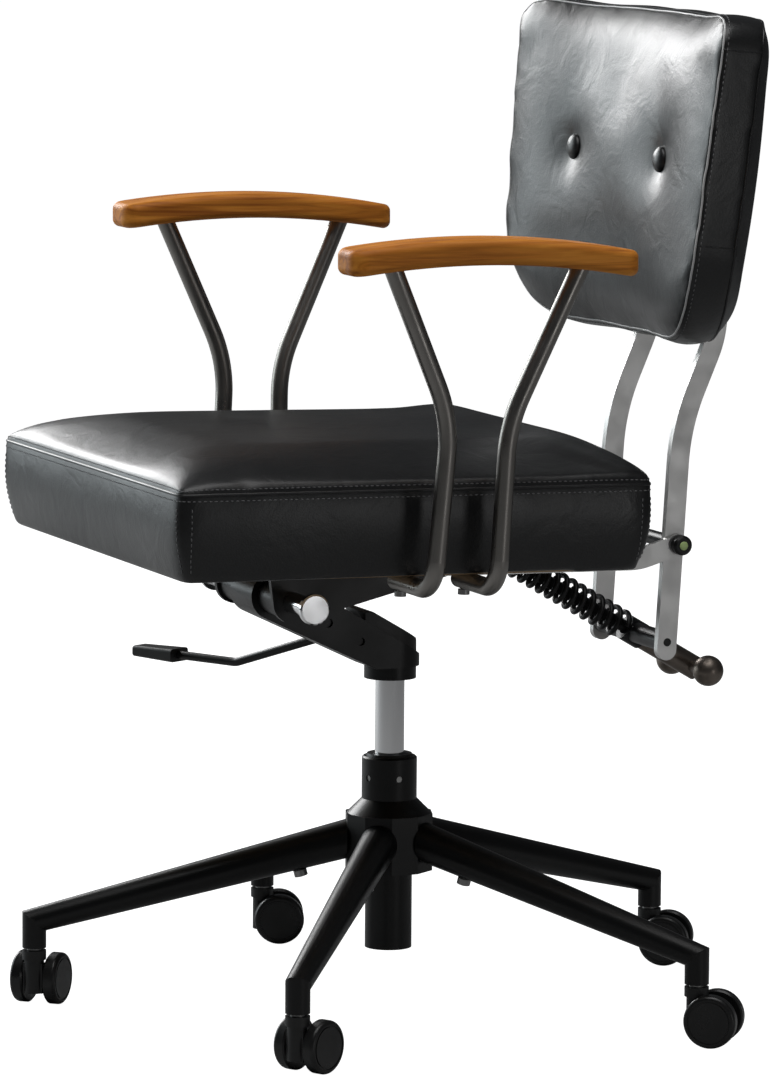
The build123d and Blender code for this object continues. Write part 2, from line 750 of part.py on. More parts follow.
with BuildPart() as mechanism_cover:
    with BuildSketch(Plane.YZ):
        with BuildLine():
            Polyline((socket_radius, arm_top_at(socket_radius) + cover_seat_gap),
                     (cover_front, arm_top_at(cover_front) + cover_seat_gap),
                     (cover_front, arm_top_at(cover_front) + cover_front_edge),
                     (cover_brow, arm_top_at(cover_brow) + cover_height),
                     (cover_crest, arm_top_at(cover_crest) + cover_height),
                     (socket_radius, arm_top_at(socket_radius) + cover_height - cover_rear_chamfer_height),
                     close=True)
        make_face()
    extrude(amount=socket_radius, both=True)
    with BuildSketch(Plane.YZ):
        with BuildLine():
            Polyline((pocket_rear, arm_top_at(pocket_rear) - cover_wall),
                     (pocket_mouth, arm_top_at(pocket_mouth) - cover_wall),
                     (pocket_mouth, arm_top_at(pocket_mouth) + cover_height - cover_wall),
                     (pocket_rear, arm_top_at(pocket_rear) + cover_height - cover_wall), close=True)
        make_face()
    extrude(amount=pocket_half_width, both=True, mode=Mode.SUBTRACT)
    with BuildSketch(Plane.XY.offset(socket_bottom)):
        with Locations((0, socket_radius)):
            Rectangle(2 * socket_diameter, socket_diameter)
        Circle(socket_radius, mode=Mode.SUBTRACT)
    extrude(amount=2 * socket_diameter, mode=Mode.SUBTRACT)
save(mechanism_cover, "mechanism_cover")

with BuildPart() as torsion_bushes:
    inner = torsion_shaft_diameter / 2 + running_clearance
    for way in (1, -1):
        with BuildSketch(torsion_plane):
            with Locations((way * (barrel_half_width - torsion_bush_length / 2), inner + torsion_bush_wall / 2)):
                Rectangle(torsion_bush_length, torsion_bush_wall)
        revolve(axis=torsion_axis)
save(torsion_bushes, "torsion_bushes")

with BuildPart() as torsion_shaft:
    shaft_radius = torsion_shaft_diameter / 2
    disc_radius = torsion_disc_diameter / 2
    disc_end = torsion_shaft_half_length + torsion_disc_thickness
    with BuildSketch(torsion_plane):
        with BuildLine():
            Polyline((0, 0), (disc_end, 0), (disc_end, disc_radius - 1.5), (disc_end - 1.5, disc_radius),
                     (torsion_shaft_half_length, disc_radius), (torsion_shaft_half_length, shaft_radius),
                     (0, shaft_radius), close=True)
        make_face()
        mirror(about=Plane.YZ)
    revolve(axis=torsion_axis)
save(torsion_shaft, "torsion_shaft")

plate_middle_y = (seat_plate_front + seat_plate_rear) / 2 - seat_middle_y
plate_bolt_x = seat_plate_width / 3
cheek_front = seat_plate_front + cheek_front_inset
cheek_rear = seat_plate_rear - cheek_rear_inset
plate_bolt_spots = [(way * plate_bolt_x, end - seat_middle_y + inset)
                    for way in (1, -1) for end, inset in ((seat_plate_front, plate_bolt_inset),
                                                        (seat_plate_rear, -plate_bolt_inset))]

with BuildPart() as seat_plate:
    with BuildSketch(seat_plane):
        with Locations((0, plate_middle_y)):
            RectangleRounded(seat_plate_width, seat_plate_length, seat_plate_corner)
        with Locations(*plate_bolt_spots):
            Circle(seat_bolt_diameter / 2 + bolt_clearance, mode=Mode.SUBTRACT)
    extrude(amount=-seat_plate_thickness)
    for way in (1, -1):
        with BuildSketch(Plane.YZ.offset(way * (cheek_inner + cheek_thickness / 2))):
            with Locations((torsion_y, torsion_z)):
                Circle(cheek_radius)
            with BuildLine():
                Polyline((cheek_front, underside_at(cheek_front) - seat_plate_thickness - cheek_lip),
                         (cheek_front, underside_at(cheek_front) - seat_plate_thickness / 4),
                         (cheek_rear, underside_at(cheek_rear) - seat_plate_thickness / 4),
                         (cheek_rear, underside_at(cheek_rear) - seat_plate_thickness - cheek_lip), close=True)
            make_face()
            make_hull()
        extrude(amount=cheek_thickness / 2, both=True)
        with BuildSketch(torsion_plane):
            with Locations((way * (barrel_half_width + shaft_sleeve_gap + cheek_inner) / 2, 0)):
                Rectangle(cheek_inner - barrel_half_width - shaft_sleeve_gap + 1, shaft_sleeve_diameter / 2,
                          align=(Align.CENTER, Align.MIN))
        revolve(axis=torsion_axis)
    with BuildSketch(torsion_plane):
        Rectangle(2.5 * (cheek_inner + cheek_thickness), torsion_shaft_diameter / 2 + bush_clearance,
                  align=(Align.CENTER, Align.MIN))
    revolve(axis=torsion_axis, mode=Mode.SUBTRACT)
save(seat_plate, "seat_plate")

# Height lever: a bent rod in an upright plane, with a tongue over the valve pin
lever_plane = Plane(origin=(lever_pivot_x, lever_pivot_y, 0), x_dir=lever_out,
                    z_dir=lever_out.cross(Vector(0, 0, 1)))
tongue_bottom = button_top + lever_button_gap
tongue_root = lever_pivot - lever_out * lever_tongue_inset

with BuildPart() as lever_rod:
    with BuildLine(lever_plane) as lever_path:
        FilletPolyline((-lever_tongue_inset, lever_pivot_z), (0, lever_pivot_z),
                       (lever_bend_reach, lever_bend_height),
                       (lever_paddle_start + lever_paddle_socket, lever_bend_height),
                       radius=[lever_inner_bend, lever_outer_bend])
    with BuildSketch(Plane(origin=lever_path.line @ 0, z_dir=lever_path.line % 0)):
        Circle(lever_rod_diameter / 2)
    sweep()
    with BuildSketch(Plane.XY.offset(tongue_bottom)):
        with Locations((tongue_root.X, tongue_root.Y)):
            Circle(lever_rod_diameter / 2)
        Circle(button_diameter * 0.7)
        make_hull()
    extrude(amount=lever_tongue_thickness)
save(lever_rod, "lever_rod")

with BuildPart() as lever_paddle:
    for reach, share in ((lever_paddle_start, 1.0), (lever_paddle_end, 0.82)):
        at = lever_pivot + lever_out * reach
        with BuildSketch(Plane(origin=(at.X, at.Y, lever_bend_height), x_dir=(0, 0, 1), z_dir=lever_out)):
            RectangleRounded(lever_paddle_thickness * share, lever_paddle_width * share,
                             lever_paddle_thickness / 4)
    loft()
    fillet(lever_paddle.faces().sort_by(Axis.X)[0].edges(), radius=1.8)
    mouth = lever_pivot + lever_out * lever_paddle_start
    with BuildSketch(Plane(origin=(mouth.X, mouth.Y, lever_bend_height), z_dir=lever_out)):
        Circle(lever_rod_diameter / 2 + bush_clearance)
    extrude(amount=lever_paddle_socket + 0.5, mode=Mode.SUBTRACT)
save(lever_paddle, "lever_paddle")

# Seat pan and cushion
pan_width = seat_width - 2 * pan_margin
pan_depth = seat_depth - 2 * pan_margin
bracket_outer = bar_inner_x + bar_thickness + bar_side_gap + bracket_thickness
bracket_bolt_x = bracket_outer + bracket_foot_width / 2
bracket_bolt_spots = [(way * bracket_bolt_x, y - seat_middle_y)
                      for way in (1, -1)
                      for y in (bracket_foot_front + bracket_bolt_inset, bracket_foot_rear - bracket_bolt_inset)]
arm_bolt_spots = [(way * arm_bolt_x, y - seat_middle_y)
                  for way in (1, -1) for y in (front_tube_foot_y, rear_tube_foot_y)]
anchor_bolt_spots = [(way * anchor_base_length / 3, anchor_y - seat_middle_y) for way in (1, -1)]
small_bolt_radius = arm_bolt_diameter / 2

with BuildPart() as seat_pan:
    with BuildSketch(seat_plane):
        RectangleRounded(pan_width, pan_depth, seat_corner_radius)
        with Locations(*plate_bolt_spots):
            Circle(seat_bolt_diameter / 2 + bolt_clearance, mode=Mode.SUBTRACT)
        with Locations(*bracket_bolt_spots, *arm_bolt_spots, *anchor_bolt_spots):
            Circle(small_bolt_radius + bolt_clearance, mode=Mode.SUBTRACT)
    extrude(amount=pan_thickness)
save(seat_pan, "seat_pan")

with BuildPart() as seat_cushion:
    side_levels = ((0.0, seat_under_inset), (seat_seam_height / 2, 0.0), (seat_seam_height, seat_seam_inset))
    for height, inset in side_levels:
        with BuildSketch(seat_plane.offset(height)):
            RectangleRounded(seat_width - 2 * inset, seat_depth - 2 * inset, seat_corner_radius)
    loft()
    top_levels = ((0.0, seat_seam_inset), (0.45, 14.0), (0.8, 56.0), (0.955, 115.0), (1.0, 182.0))
    for share, inset in top_levels:
        widest = min(seat_width, seat_depth) / 2 - inset - seat_crown_slack
        with BuildSketch(seat_plane.offset(seat_seam_height + seat_crown * share)):
            RectangleRounded(seat_width - 2 * inset, seat_depth - 2 * inset,
                             min(seat_corner_radius + inset * seat_crown_rounding, widest))
    loft()
    with BuildSketch(seat_plane):
        RectangleRounded(pan_width + 2 * pan_clearance, pan_depth + 2 * pan_clearance, seat_corner_radius)
    extrude(amount=pan_thickness + pan_clearance, mode=Mode.SUBTRACT)
save(seat_cushion, "seat_cushion")

# Arm tubes: a foot under the seat, a waist beside it and a lean to the pad
arm_foot_drop = arm_tube_diameter / 2 + arm_tube_seat_gap
pad_lean = radians(arm_pad_lean)
pad_arch_y = arm_pad_middle_y - arm_pad_arch_radius * sin(pad_lean)
pad_arch_z = arm_pad_underside - arm_pad_arch_radius * cos(pad_lean)


def pad_underside_at(y):
    """Height of the arm pad's arched lower face."""
    return pad_arch_z + sqrt(arm_pad_arch_radius ** 2 - (y - pad_arch_y) ** 2)


def arm_tube_points(way, foot_y, waist_y, waist_z, top_y):
    """Corners of a tube's centre line, from its foot under the seat into the pad."""
    foot_z = underside_at(foot_y) - arm_foot_drop
    waist = Vector(way * arm_tube_waist_x, waist_y, waist_z)
    mouth = Vector(way * arm_tube_top_x, top_y, pad_underside_at(top_y))
    top = mouth + (mouth - waist).normalized() * arm_tube_socket_depth
    return [Vector(way * arm_tube_inner_end, foot_y, foot_z), Vector(way * arm_tube_foot_x, foot_y, foot_z),
            waist, top]


tube_rows = ((front_tube_foot_y, front_tube_waist_y, front_tube_waist_z, front_tube_top_y),
             (rear_tube_foot_y, rear_tube_waist_y, rear_tube_waist_z, rear_tube_top_y))

for side_name, way in (("left", 1), ("right", -1)):
    with BuildPart() as arm_tubes:
        for row in tube_rows:
            with BuildLine() as tube_path:
                FilletPolyline(*arm_tube_points(way, *row), radius=[arm_tube_foot_bend, arm_tube_waist_bend])
            with BuildSketch(Plane(origin=tube_path.line @ 0, z_dir=tube_path.line % 0)):
                Circle(arm_tube_diameter / 2)
                Circle(arm_tube_diameter / 2 - arm_tube_wall, mode=Mode.SUBTRACT)
            sweep(path=tube_path.line)
        with BuildSketch(seat_plane):
            with Locations(*[(x, y) for x, y in arm_bolt_spots if x * way > 0]):
                Circle(small_bolt_radius + bolt_clearance)
        extrude(amount=-2 * arm_tube_diameter, mode=Mode.SUBTRACT)
    save(arm_tubes, "arm_tubes_" + side_name)

    with BuildPart() as arm_pad:
        with BuildSketch(Plane.YZ.offset(way * arm_pad_x)):
            with Locations((pad_arch_y, pad_arch_z)):
                Circle(arm_pad_arch_radius + arm_pad_thickness)
                Circle(arm_pad_arch_radius, mode=Mode.SUBTRACT)
            with Locations((arm_pad_middle_y, arm_pad_underside)):
                Rectangle(arm_pad_length, arm_pad_length, mode=Mode.INTERSECT)
        extrude(amount=arm_pad_width / 2, both=True)
        fillet(arm_pad.edges().filter_by(Axis.Z), radius=arm_pad_corner_radius)
        rims = arm_pad.faces().sort_by(Axis.Z)
        fillet(rims[-1].edges() + rims[0].edges(), radius=arm_pad_edge_radius)
        for row in tube_rows:
            corners = arm_tube_points(way, *row)
            with BuildSketch(Plane(origin=corners[3], z_dir=corners[2] - corners[3])):
                Circle(arm_tube_diameter / 2 + bush_clearance)
            extrude(amount=3 * arm_tube_socket_depth, mode=Mode.SUBTRACT)
    save(arm_pad, "arm_pad_" + side_name)

# Back brackets: flat steel under the seat, turned up to the pivot
bracket_inner = bar_inner_x + bar_thickness + bar_side_gap
bracket_middle = bracket_depth / 2 + bracket_seat_gap

for side_name, way in (("left", 1), ("right", -1)):
    with BuildPart() as back_bracket:
        with BuildSketch(Plane.YZ.offset(way * (bracket_inner + bracket_thickness / 2))):
            with BuildLine():
                FilletPolyline((bracket_start_y, underside_at(bracket_start_y) - bracket_middle),
                               (bracket_turn_y, underside_at(bracket_turn_y) - bracket_middle),
                               (pivot_y, pivot_z), radius=bracket_bend_radius)
            trace(line_width=bracket_depth)
            with Locations((pivot_y, pivot_z)):
                Circle(bracket_depth / 2)
                Circle(pivot_shaft_diameter / 2 + bush_clearance, mode=Mode.SUBTRACT)
        extrude(amount=bracket_thickness / 2, both=True)
        with BuildSketch(seat_plane.offset(-bracket_seat_gap)):
            with Locations((way * (bracket_outer + bracket_foot_width / 2 - 1),
                            (bracket_foot_front + bracket_foot_rear) / 2 - seat_middle_y)):
                Rectangle(bracket_foot_width + 2, bracket_foot_rear - bracket_foot_front)
            with Locations(*[(x, y) for x, y in bracket_bolt_spots if x * way > 0]):
                Circle(small_bolt_radius + bolt_clearance, mode=Mode.SUBTRACT)
        extrude(amount=-bracket_foot_thickness)
    save(back_bracket, "back_bracket_" + side_name)

pivot_plane = Plane(origin=(0, pivot_y, pivot_z), x_dir=(1, 0, 0), z_dir=(0, -1, 0))
pivot_axis = Axis((0, pivot_y, pivot_z), (1, 0, 0))
cap_start = bracket_inner + bracket_thickness + bush_clearance
cap_end = cap_start + pivot_cap_thickness

with BuildPart() as pivot_shaft:
    shaft_end = cap_end - pivot_cap_cover
    middle_end = bar_inner_x - bar_side_gap
    with BuildSketch(pivot_plane):
        with BuildLine():
            Polyline((0, 0), (shaft_end, 0), (shaft_end, pivot_shaft_diameter / 2),
                     (middle_end, pivot_shaft_diameter / 2), (middle_end, pivot_middle_diameter / 2),
                     (0, pivot_middle_diameter / 2), close=True)
        make_face()
        mirror(about=Plane.YZ)
    revolve(axis=pivot_axis)
    for way in (1, -1):
        cap_bore = pivot_shaft_diameter / 2 + bush_clearance
        cap_rim = pivot_cap_diameter / 2
        with BuildSketch(pivot_plane):
            with BuildLine():
                Polyline((way * cap_start, cap_bore), (way * cap_start, cap_rim), (way * (cap_end - 2), cap_rim),
                         (way * cap_end, cap_rim - 2), (way * cap_end, 0),
                         (way * (shaft_end + bush_clearance), 0), (way * (shaft_end + bush_clearance), cap_bore),
                         close=True)
            make_face()
        revolve(axis=pivot_axis)
save(pivot_shaft, "pivot_shaft")

# Back bars: upright beside the seat, leaning back at the knee, then along the back
back_tilt = radians(back_recline)
bar_top_y = bar_shoulder_y + bar_top_rise * tan(back_tilt)
bar_points = [(bar_foot_y, bar_foot_z), (bar_knee_y, bar_knee_z), (bar_shoulder_y, bar_shoulder_z),
              (bar_top_y, bar_shoulder_z + bar_top_rise)]


def bar_outline(width):
    """Side view of a bar, drawn along its centre line."""
    with BuildSketch() as outline:
        with BuildLine():
            FilletPolyline(*bar_points, radius=[bar_knee_radius, bar_shoulder_radius])
        trace(line_width=width)
        with Locations(bar_points[0]):
            Circle(width / 2)
    return outline.sketch


for side_name, way in (("left", 1), ("right", -1)):
    with BuildPart() as back_bar:
        with BuildSketch(Plane.YZ.offset(way * (bar_inner_x + bar_thickness / 2))):
            add(bar_outline(bar_width))
            with Locations((pivot_y, pivot_z)):
                Circle(pivot_shaft_diameter / 2 + running_clearance, mode=Mode.SUBTRACT)
            with Locations((trunnion_y, trunnion_z)):
                Circle(trunnion_journal_diameter / 2 + running_clearance, mode=Mode.SUBTRACT)
        extrude(amount=bar_thickness / 2, both=True)
    save(back_bar, "back_bar_" + side_name)

# Spring linkage: everything on the rod is measured from the eye at the anchor
anchor = Vector(0, anchor_y, anchor_z)
trunnion_spot = Vector(0, trunnion_y, trunnion_z)
rod_way = (trunnion_spot - anchor).normalized()
trunnion_reach = (trunnion_spot - anchor).length
rod_side = Plane(origin=anchor, x_dir=rod_way, z_dir=(1, 0, 0))
rod_axis = Axis(rod_side.origin, rod_side.x_dir)
rod_half = spring_rod_diameter / 2
handle_start = trunnion_reach + trunnion_boss_half_length + handle_gap
spring_front = spring_seat_start + spring_seat_thickness

with BuildPart() as trunnion:
    cross_plane = Plane(origin=trunnion_spot, x_dir=(1, 0, 0), z_dir=(0, -1, 0))
    cross_end = bar_inner_x - bar_side_gap
    journal_end = bar_inner_x + bar_thickness
    with BuildSketch(cross_plane):
        with BuildLine():
            Polyline((0, 0), (journal_end, 0), (journal_end, trunnion_journal_diameter / 2),
                     (cross_end, trunnion_journal_diameter / 2), (cross_end, trunnion_diameter / 2),
                     (0, trunnion_diameter / 2), close=True)
        make_face()
        mirror(about=Plane.YZ)
    revolve(axis=Axis(trunnion_spot, (1, 0, 0)))
    with BuildSketch(Plane(origin=trunnion_spot, z_dir=rod_way)):
        Circle(trunnion_boss_diameter / 2)
    extrude(amount=trunnion_boss_half_length, both=True)
    with BuildSketch(Plane(origin=trunnion_spot, z_dir=rod_way)):
        Circle(rod_half + trunnion_bore_clearance)
    extrude(amount=trunnion_diameter, both=True, mode=Mode.SUBTRACT)
save(trunnion, "trunnion")

with BuildPart() as spring_rod:
    with BuildSketch(Plane.YZ):
        with Locations((anchor_y, anchor_z)):
            Circle(rod_eye_diameter / 2)
    extrude(amount=rod_eye_width / 2, both=True)
    rod_end = handle_start + handle_bore_depth - 1
    seat_rim = spring_seat_diameter / 2
    with BuildSketch(rod_side):
        with BuildLine():
            Polyline((0, 0), (0, rod_half), (spring_seat_start, rod_half), (spring_seat_start, seat_rim),
                     (spring_front, seat_rim), (spring_front, rod_half), (rod_end, rod_half), (rod_end, 0),
                     close=True)
        make_face()
    revolve(axis=rod_axis)
    with BuildSketch(Plane.YZ):
        with Locations((anchor_y, anchor_z)):
            Circle(anchor_pin_diameter / 2 + running_clearance)
    extrude(amount=rod_eye_width, both=True, mode=Mode.SUBTRACT)
save(spring_rod, "spring_rod")

spring_radius = (spring_outer_diameter - spring_wire) / 2
coil_start = spring_front + spring_end_gap + spring_wire / 2
coil_end = trunnion_reach - trunnion_boss_half_length - spring_end_gap - spring_wire / 2
coil_rise = coil_end - coil_start
coil_frame = Plane(origin=anchor + rod_way * coil_start, x_dir=(1, 0, 0), z_dir=rod_way)


def coil_point(turn):
    """Point of the coil's centre line after so many turns."""
    way = 2 * pi * turn
    return coil_frame.from_local_coords((spring_radius * cos(way), spring_radius * sin(way),
                                         coil_rise * turn / spring_turns))


def coil_heading(turn):
    """Direction of the coil's centre line after so many turns."""
    way = 2 * pi * turn
    around = 2 * pi * spring_radius
    ahead = coil_frame.from_local_coords((-around * sin(way), around * cos(way), coil_rise / spring_turns))
    return (ahead - coil_frame.origin).normalized()


with BuildPart() as spring:
    with BuildLine() as coil:
        for half in range(2 * spring_turns):
            begin = coil_point(half / 2)
            end = coil_point(half / 2 + 0.5)
            leave = coil_heading(half / 2)
            arrive = coil_heading(half / 2 + 0.5)
            span = end - begin
            both = leave + arrive
            lead = 4 - both.dot(both)
            reach = (sqrt(span.dot(both) ** 2 + lead * span.dot(span)) - span.dot(both)) / lead
            first = begin + leave * reach
            second = end - arrive * reach
            middle = (first + second) * 0.5
            TangentArc(begin, middle, tangent=leave)
            TangentArc(middle, end, tangent=second - first)
    with BuildSketch(Plane(origin=coil.line @ 0, z_dir=coil.line % 0)):
        Circle(spring_wire / 2)
    sweep(path=coil.line)
save(spring, "spring")

steps_per_turn = 24
coil_steps = steps_per_turn * spring_turns
coil_samples = [coil.line @ (k / coil_steps) for k in range(coil_steps + 1)]
self_gap = min((coil_samples[i] - coil_samples[j]).length for i in range(len(coil_samples))
               for j in range(i + steps_per_turn // 2, len(coil_samples))) - spring_wire
print("spring: least gap to itself", round(self_gap, 2), "mm; volume", round(spring.part.volume),
      "against section times length", round(pi * (spring_wire / 2) ** 2 * coil.wires()[0].length))

with BuildPart() as tension_handle:
    handle_cross = handle_start + handle_boss_length
    boss_half = handle_boss_diameter / 2
    handle_end = handle_cross + handle_arm_diameter / 2 + 2 * handle_end_chamfer
    with BuildSketch(rod_side):
        with BuildLine():
            Polyline((handle_start, 0), (handle_start, boss_half - handle_mouth_chamfer),
                     (handle_start + handle_mouth_chamfer, boss_half),
                     (handle_end - handle_end_chamfer, boss_half), (handle_end, boss_half - handle_end_chamfer),
                     (handle_end, 0), close=True)
        make_face()
    revolve(axis=rod_axis)
    cross_spot = anchor + rod_way * handle_cross
    ball_radius = handle_ball_diameter / 2
    arm_half = handle_arm_diameter / 2
    neck = handle_ball_reach - sqrt(ball_radius ** 2 - arm_half ** 2)
    with BuildSketch(Plane(origin=cross_spot, x_dir=(1, 0, 0), z_dir=(0, -1, 0))):
        with BuildLine():
            Polyline((handle_ball_reach + ball_radius, 0), (0, 0), (0, arm_half), (neck, arm_half))
            ThreePointArc((neck, arm_half), (handle_ball_reach, ball_radius), (handle_ball_reach + ball_radius, 0))
        make_face()
        mirror(about=Plane.YZ)
    revolve(axis=Axis(cross_spot, (1, 0, 0)))
    with BuildSketch(Plane(origin=anchor + rod_way * handle_start, z_dir=rod_way)):
        Circle(rod_half + running_clearance)
    extrude(amount=handle_bore_depth, mode=Mode.SUBTRACT)
save(tension_handle, "tension_handle")

with BuildPart() as spring_anchor:
    ear_inner = rod_eye_width / 2 + anchor_ear_gap
    ear_outer = ear_inner + anchor_ear_thickness
    with BuildSketch(seat_plane.offset(-bracket_seat_gap)):
        with Locations((0, anchor_y - seat_middle_y)):
            Rectangle(anchor_base_length, 2 * rod_eye_diameter)
        with Locations(*anchor_bolt_spots):
            Circle(small_bolt_radius + bolt_clearance, mode=Mode.SUBTRACT)
    extrude(amount=-anchor_base_thickness)
    for way in (1, -1):
        with BuildSketch(Plane.YZ.offset(way * (ear_inner + anchor_ear_thickness / 2))):
            with Locations((anchor_y, anchor_z)):
                Circle(anchor_pin_diameter)
            with Locations((anchor_y, underside_at(anchor_y) - 2)):
                Rectangle(2 * rod_eye_diameter - 4, 2)
            make_hull()
        extrude(amount=anchor_ear_thickness / 2, both=True)
    with BuildSketch(Plane.YZ):
        with Locations((anchor_y, anchor_z)):
            Circle(rod_eye_diameter / 2 + 1.5)
    extrude(amount=ear_inner, both=True, mode=Mode.SUBTRACT)
    with BuildSketch(Plane.YZ):
        with Locations((anchor_y, anchor_z)):
            Circle(anchor_pin_diameter / 2 + bolt_clearance)
    extrude(amount=anchor_base_length, both=True, mode=Mode.SUBTRACT)
    with BuildSketch(Plane.YZ):
        with Locations((anchor_y, anchor_z)):
            Circle(anchor_pin_diameter / 2)
    extrude(amount=ear_outer + 2, both=True)
save(spring_anchor, "spring_anchor")

# Seat bolts: heads below what they hold, shanks up into the pan
with BuildPart() as seat_bolts:
    large = (seat_bolt_diameter, seat_bolt_head_diameter)
    small = (arm_bolt_diameter, small_bolt_head_diameter)
    bolt_rows = ((plate_bolt_spots, seat_plate_thickness, *large),
                 (bracket_bolt_spots, bracket_seat_gap + bracket_foot_thickness, *small),
                 (arm_bolt_spots, arm_tube_diameter + arm_tube_seat_gap, *small),
                 (anchor_bolt_spots, bracket_seat_gap + anchor_base_thickness, *small))
    for spots, depth, shank, head in bolt_rows:
        head_top = depth + bolt_clearance
        with BuildSketch(seat_plane.offset(-head_top - 1)):
            with Locations(*spots):
                Circle(shank / 2)
        extrude(amount=head_top + 1 + seat_bolt_length_in_pan)
        with BuildSketch(seat_plane.offset(-head_top)):
            with Locations(*spots):
                Circle(head / 2)
        extrude(amount=-seat_bolt_head_height)
save(seat_bolts, "seat_bolts")

# Back: local x is across, local y the depth to the rear, local z along the lean
back_plane = Plane(origin=(0, back_origin_y, back_origin_z), x_dir=(1, 0, 0),
                   z_dir=(0, sin(back_tilt), cos(back_tilt)))
back_rearward = Vector(0, cos(back_tilt), -sin(back_tilt))
back_up = Vector(0, sin(back_tilt), cos(back_tilt))
wrap_radius = (back_half_width ** 2 + back_wrap ** 2) / (2 * back_wrap)


def seam_depth(x):
    """Depth of the front seam: the back wraps forward towards its sides."""
    return back_wrap - wrap_radius + sqrt(wrap_radius ** 2 - x ** 2)


def corner_height(x, radius):
    """Height of the outline over the middle, rounded by a corner radius."""
    past = max(0.0, abs(x) - (back_half_width - radius))
    return back_half_height - radius + sqrt(max(0.0, radius ** 2 - past ** 2))


def rounded(depth_1, height_1, depth_2, height_2):
    """Middle and end of a shoulder arc that swells away from the middle of the cushion."""
    swell = back_shoulder_swell * hypot(depth_2 - depth_1, height_2 - height_1)
    away = Vector(height_1 - height_2, depth_2 - depth_1).normalized() * swell
    return (((depth_1 + depth_2) / 2 + away.X, (height_1 + height_2) / 2 + away.Y), (depth_2, height_2))


def fullness(x):
    """Share of the full crown: flat in the middle and falling off to the sides."""
    return 1 - (abs(x) / back_half_width) ** 3


bar_depth = (bar_shoulder_y - back_origin_y) * cos(back_tilt) - (bar_shoulder_z - back_origin_z) * sin(back_tilt)
panel_rear = bar_depth - bar_width / 2 - panel_clearance - seam_depth(bar_inner_x)

with BuildPart() as back_panel:
    edge_depth = seam_depth(panel_half_width) + panel_rear
    middle_depth = seam_depth(0) + panel_rear
    with BuildSketch(back_plane.offset(-panel_half_height)):
        with BuildLine():
            ThreePointArc((-panel_half_width, edge_depth), (0, middle_depth), (panel_half_width, edge_depth))
            Line((panel_half_width, edge_depth), (panel_half_width, edge_depth - panel_thickness))
            ThreePointArc((panel_half_width, edge_depth - panel_thickness), (0, middle_depth - panel_thickness),
                          (-panel_half_width, edge_depth - panel_thickness))
            Line((-panel_half_width, edge_depth - panel_thickness), (-panel_half_width, edge_depth))
        make_face()
    extrude(amount=2 * panel_half_height)
save(back_panel, "back_panel")

button_radius = button_face_diameter / 2
front_surface = seam_depth(button_spread) - back_edge_crown - back_front_crown * fullness(button_spread)
rear_surface = seam_depth(button_spread) + back_band + back_edge_crown + back_rear_crown * fullness(button_spread)
tuft_rows = ((front_surface, 1, button_front_sink), (rear_surface, -1, button_rear_sink))

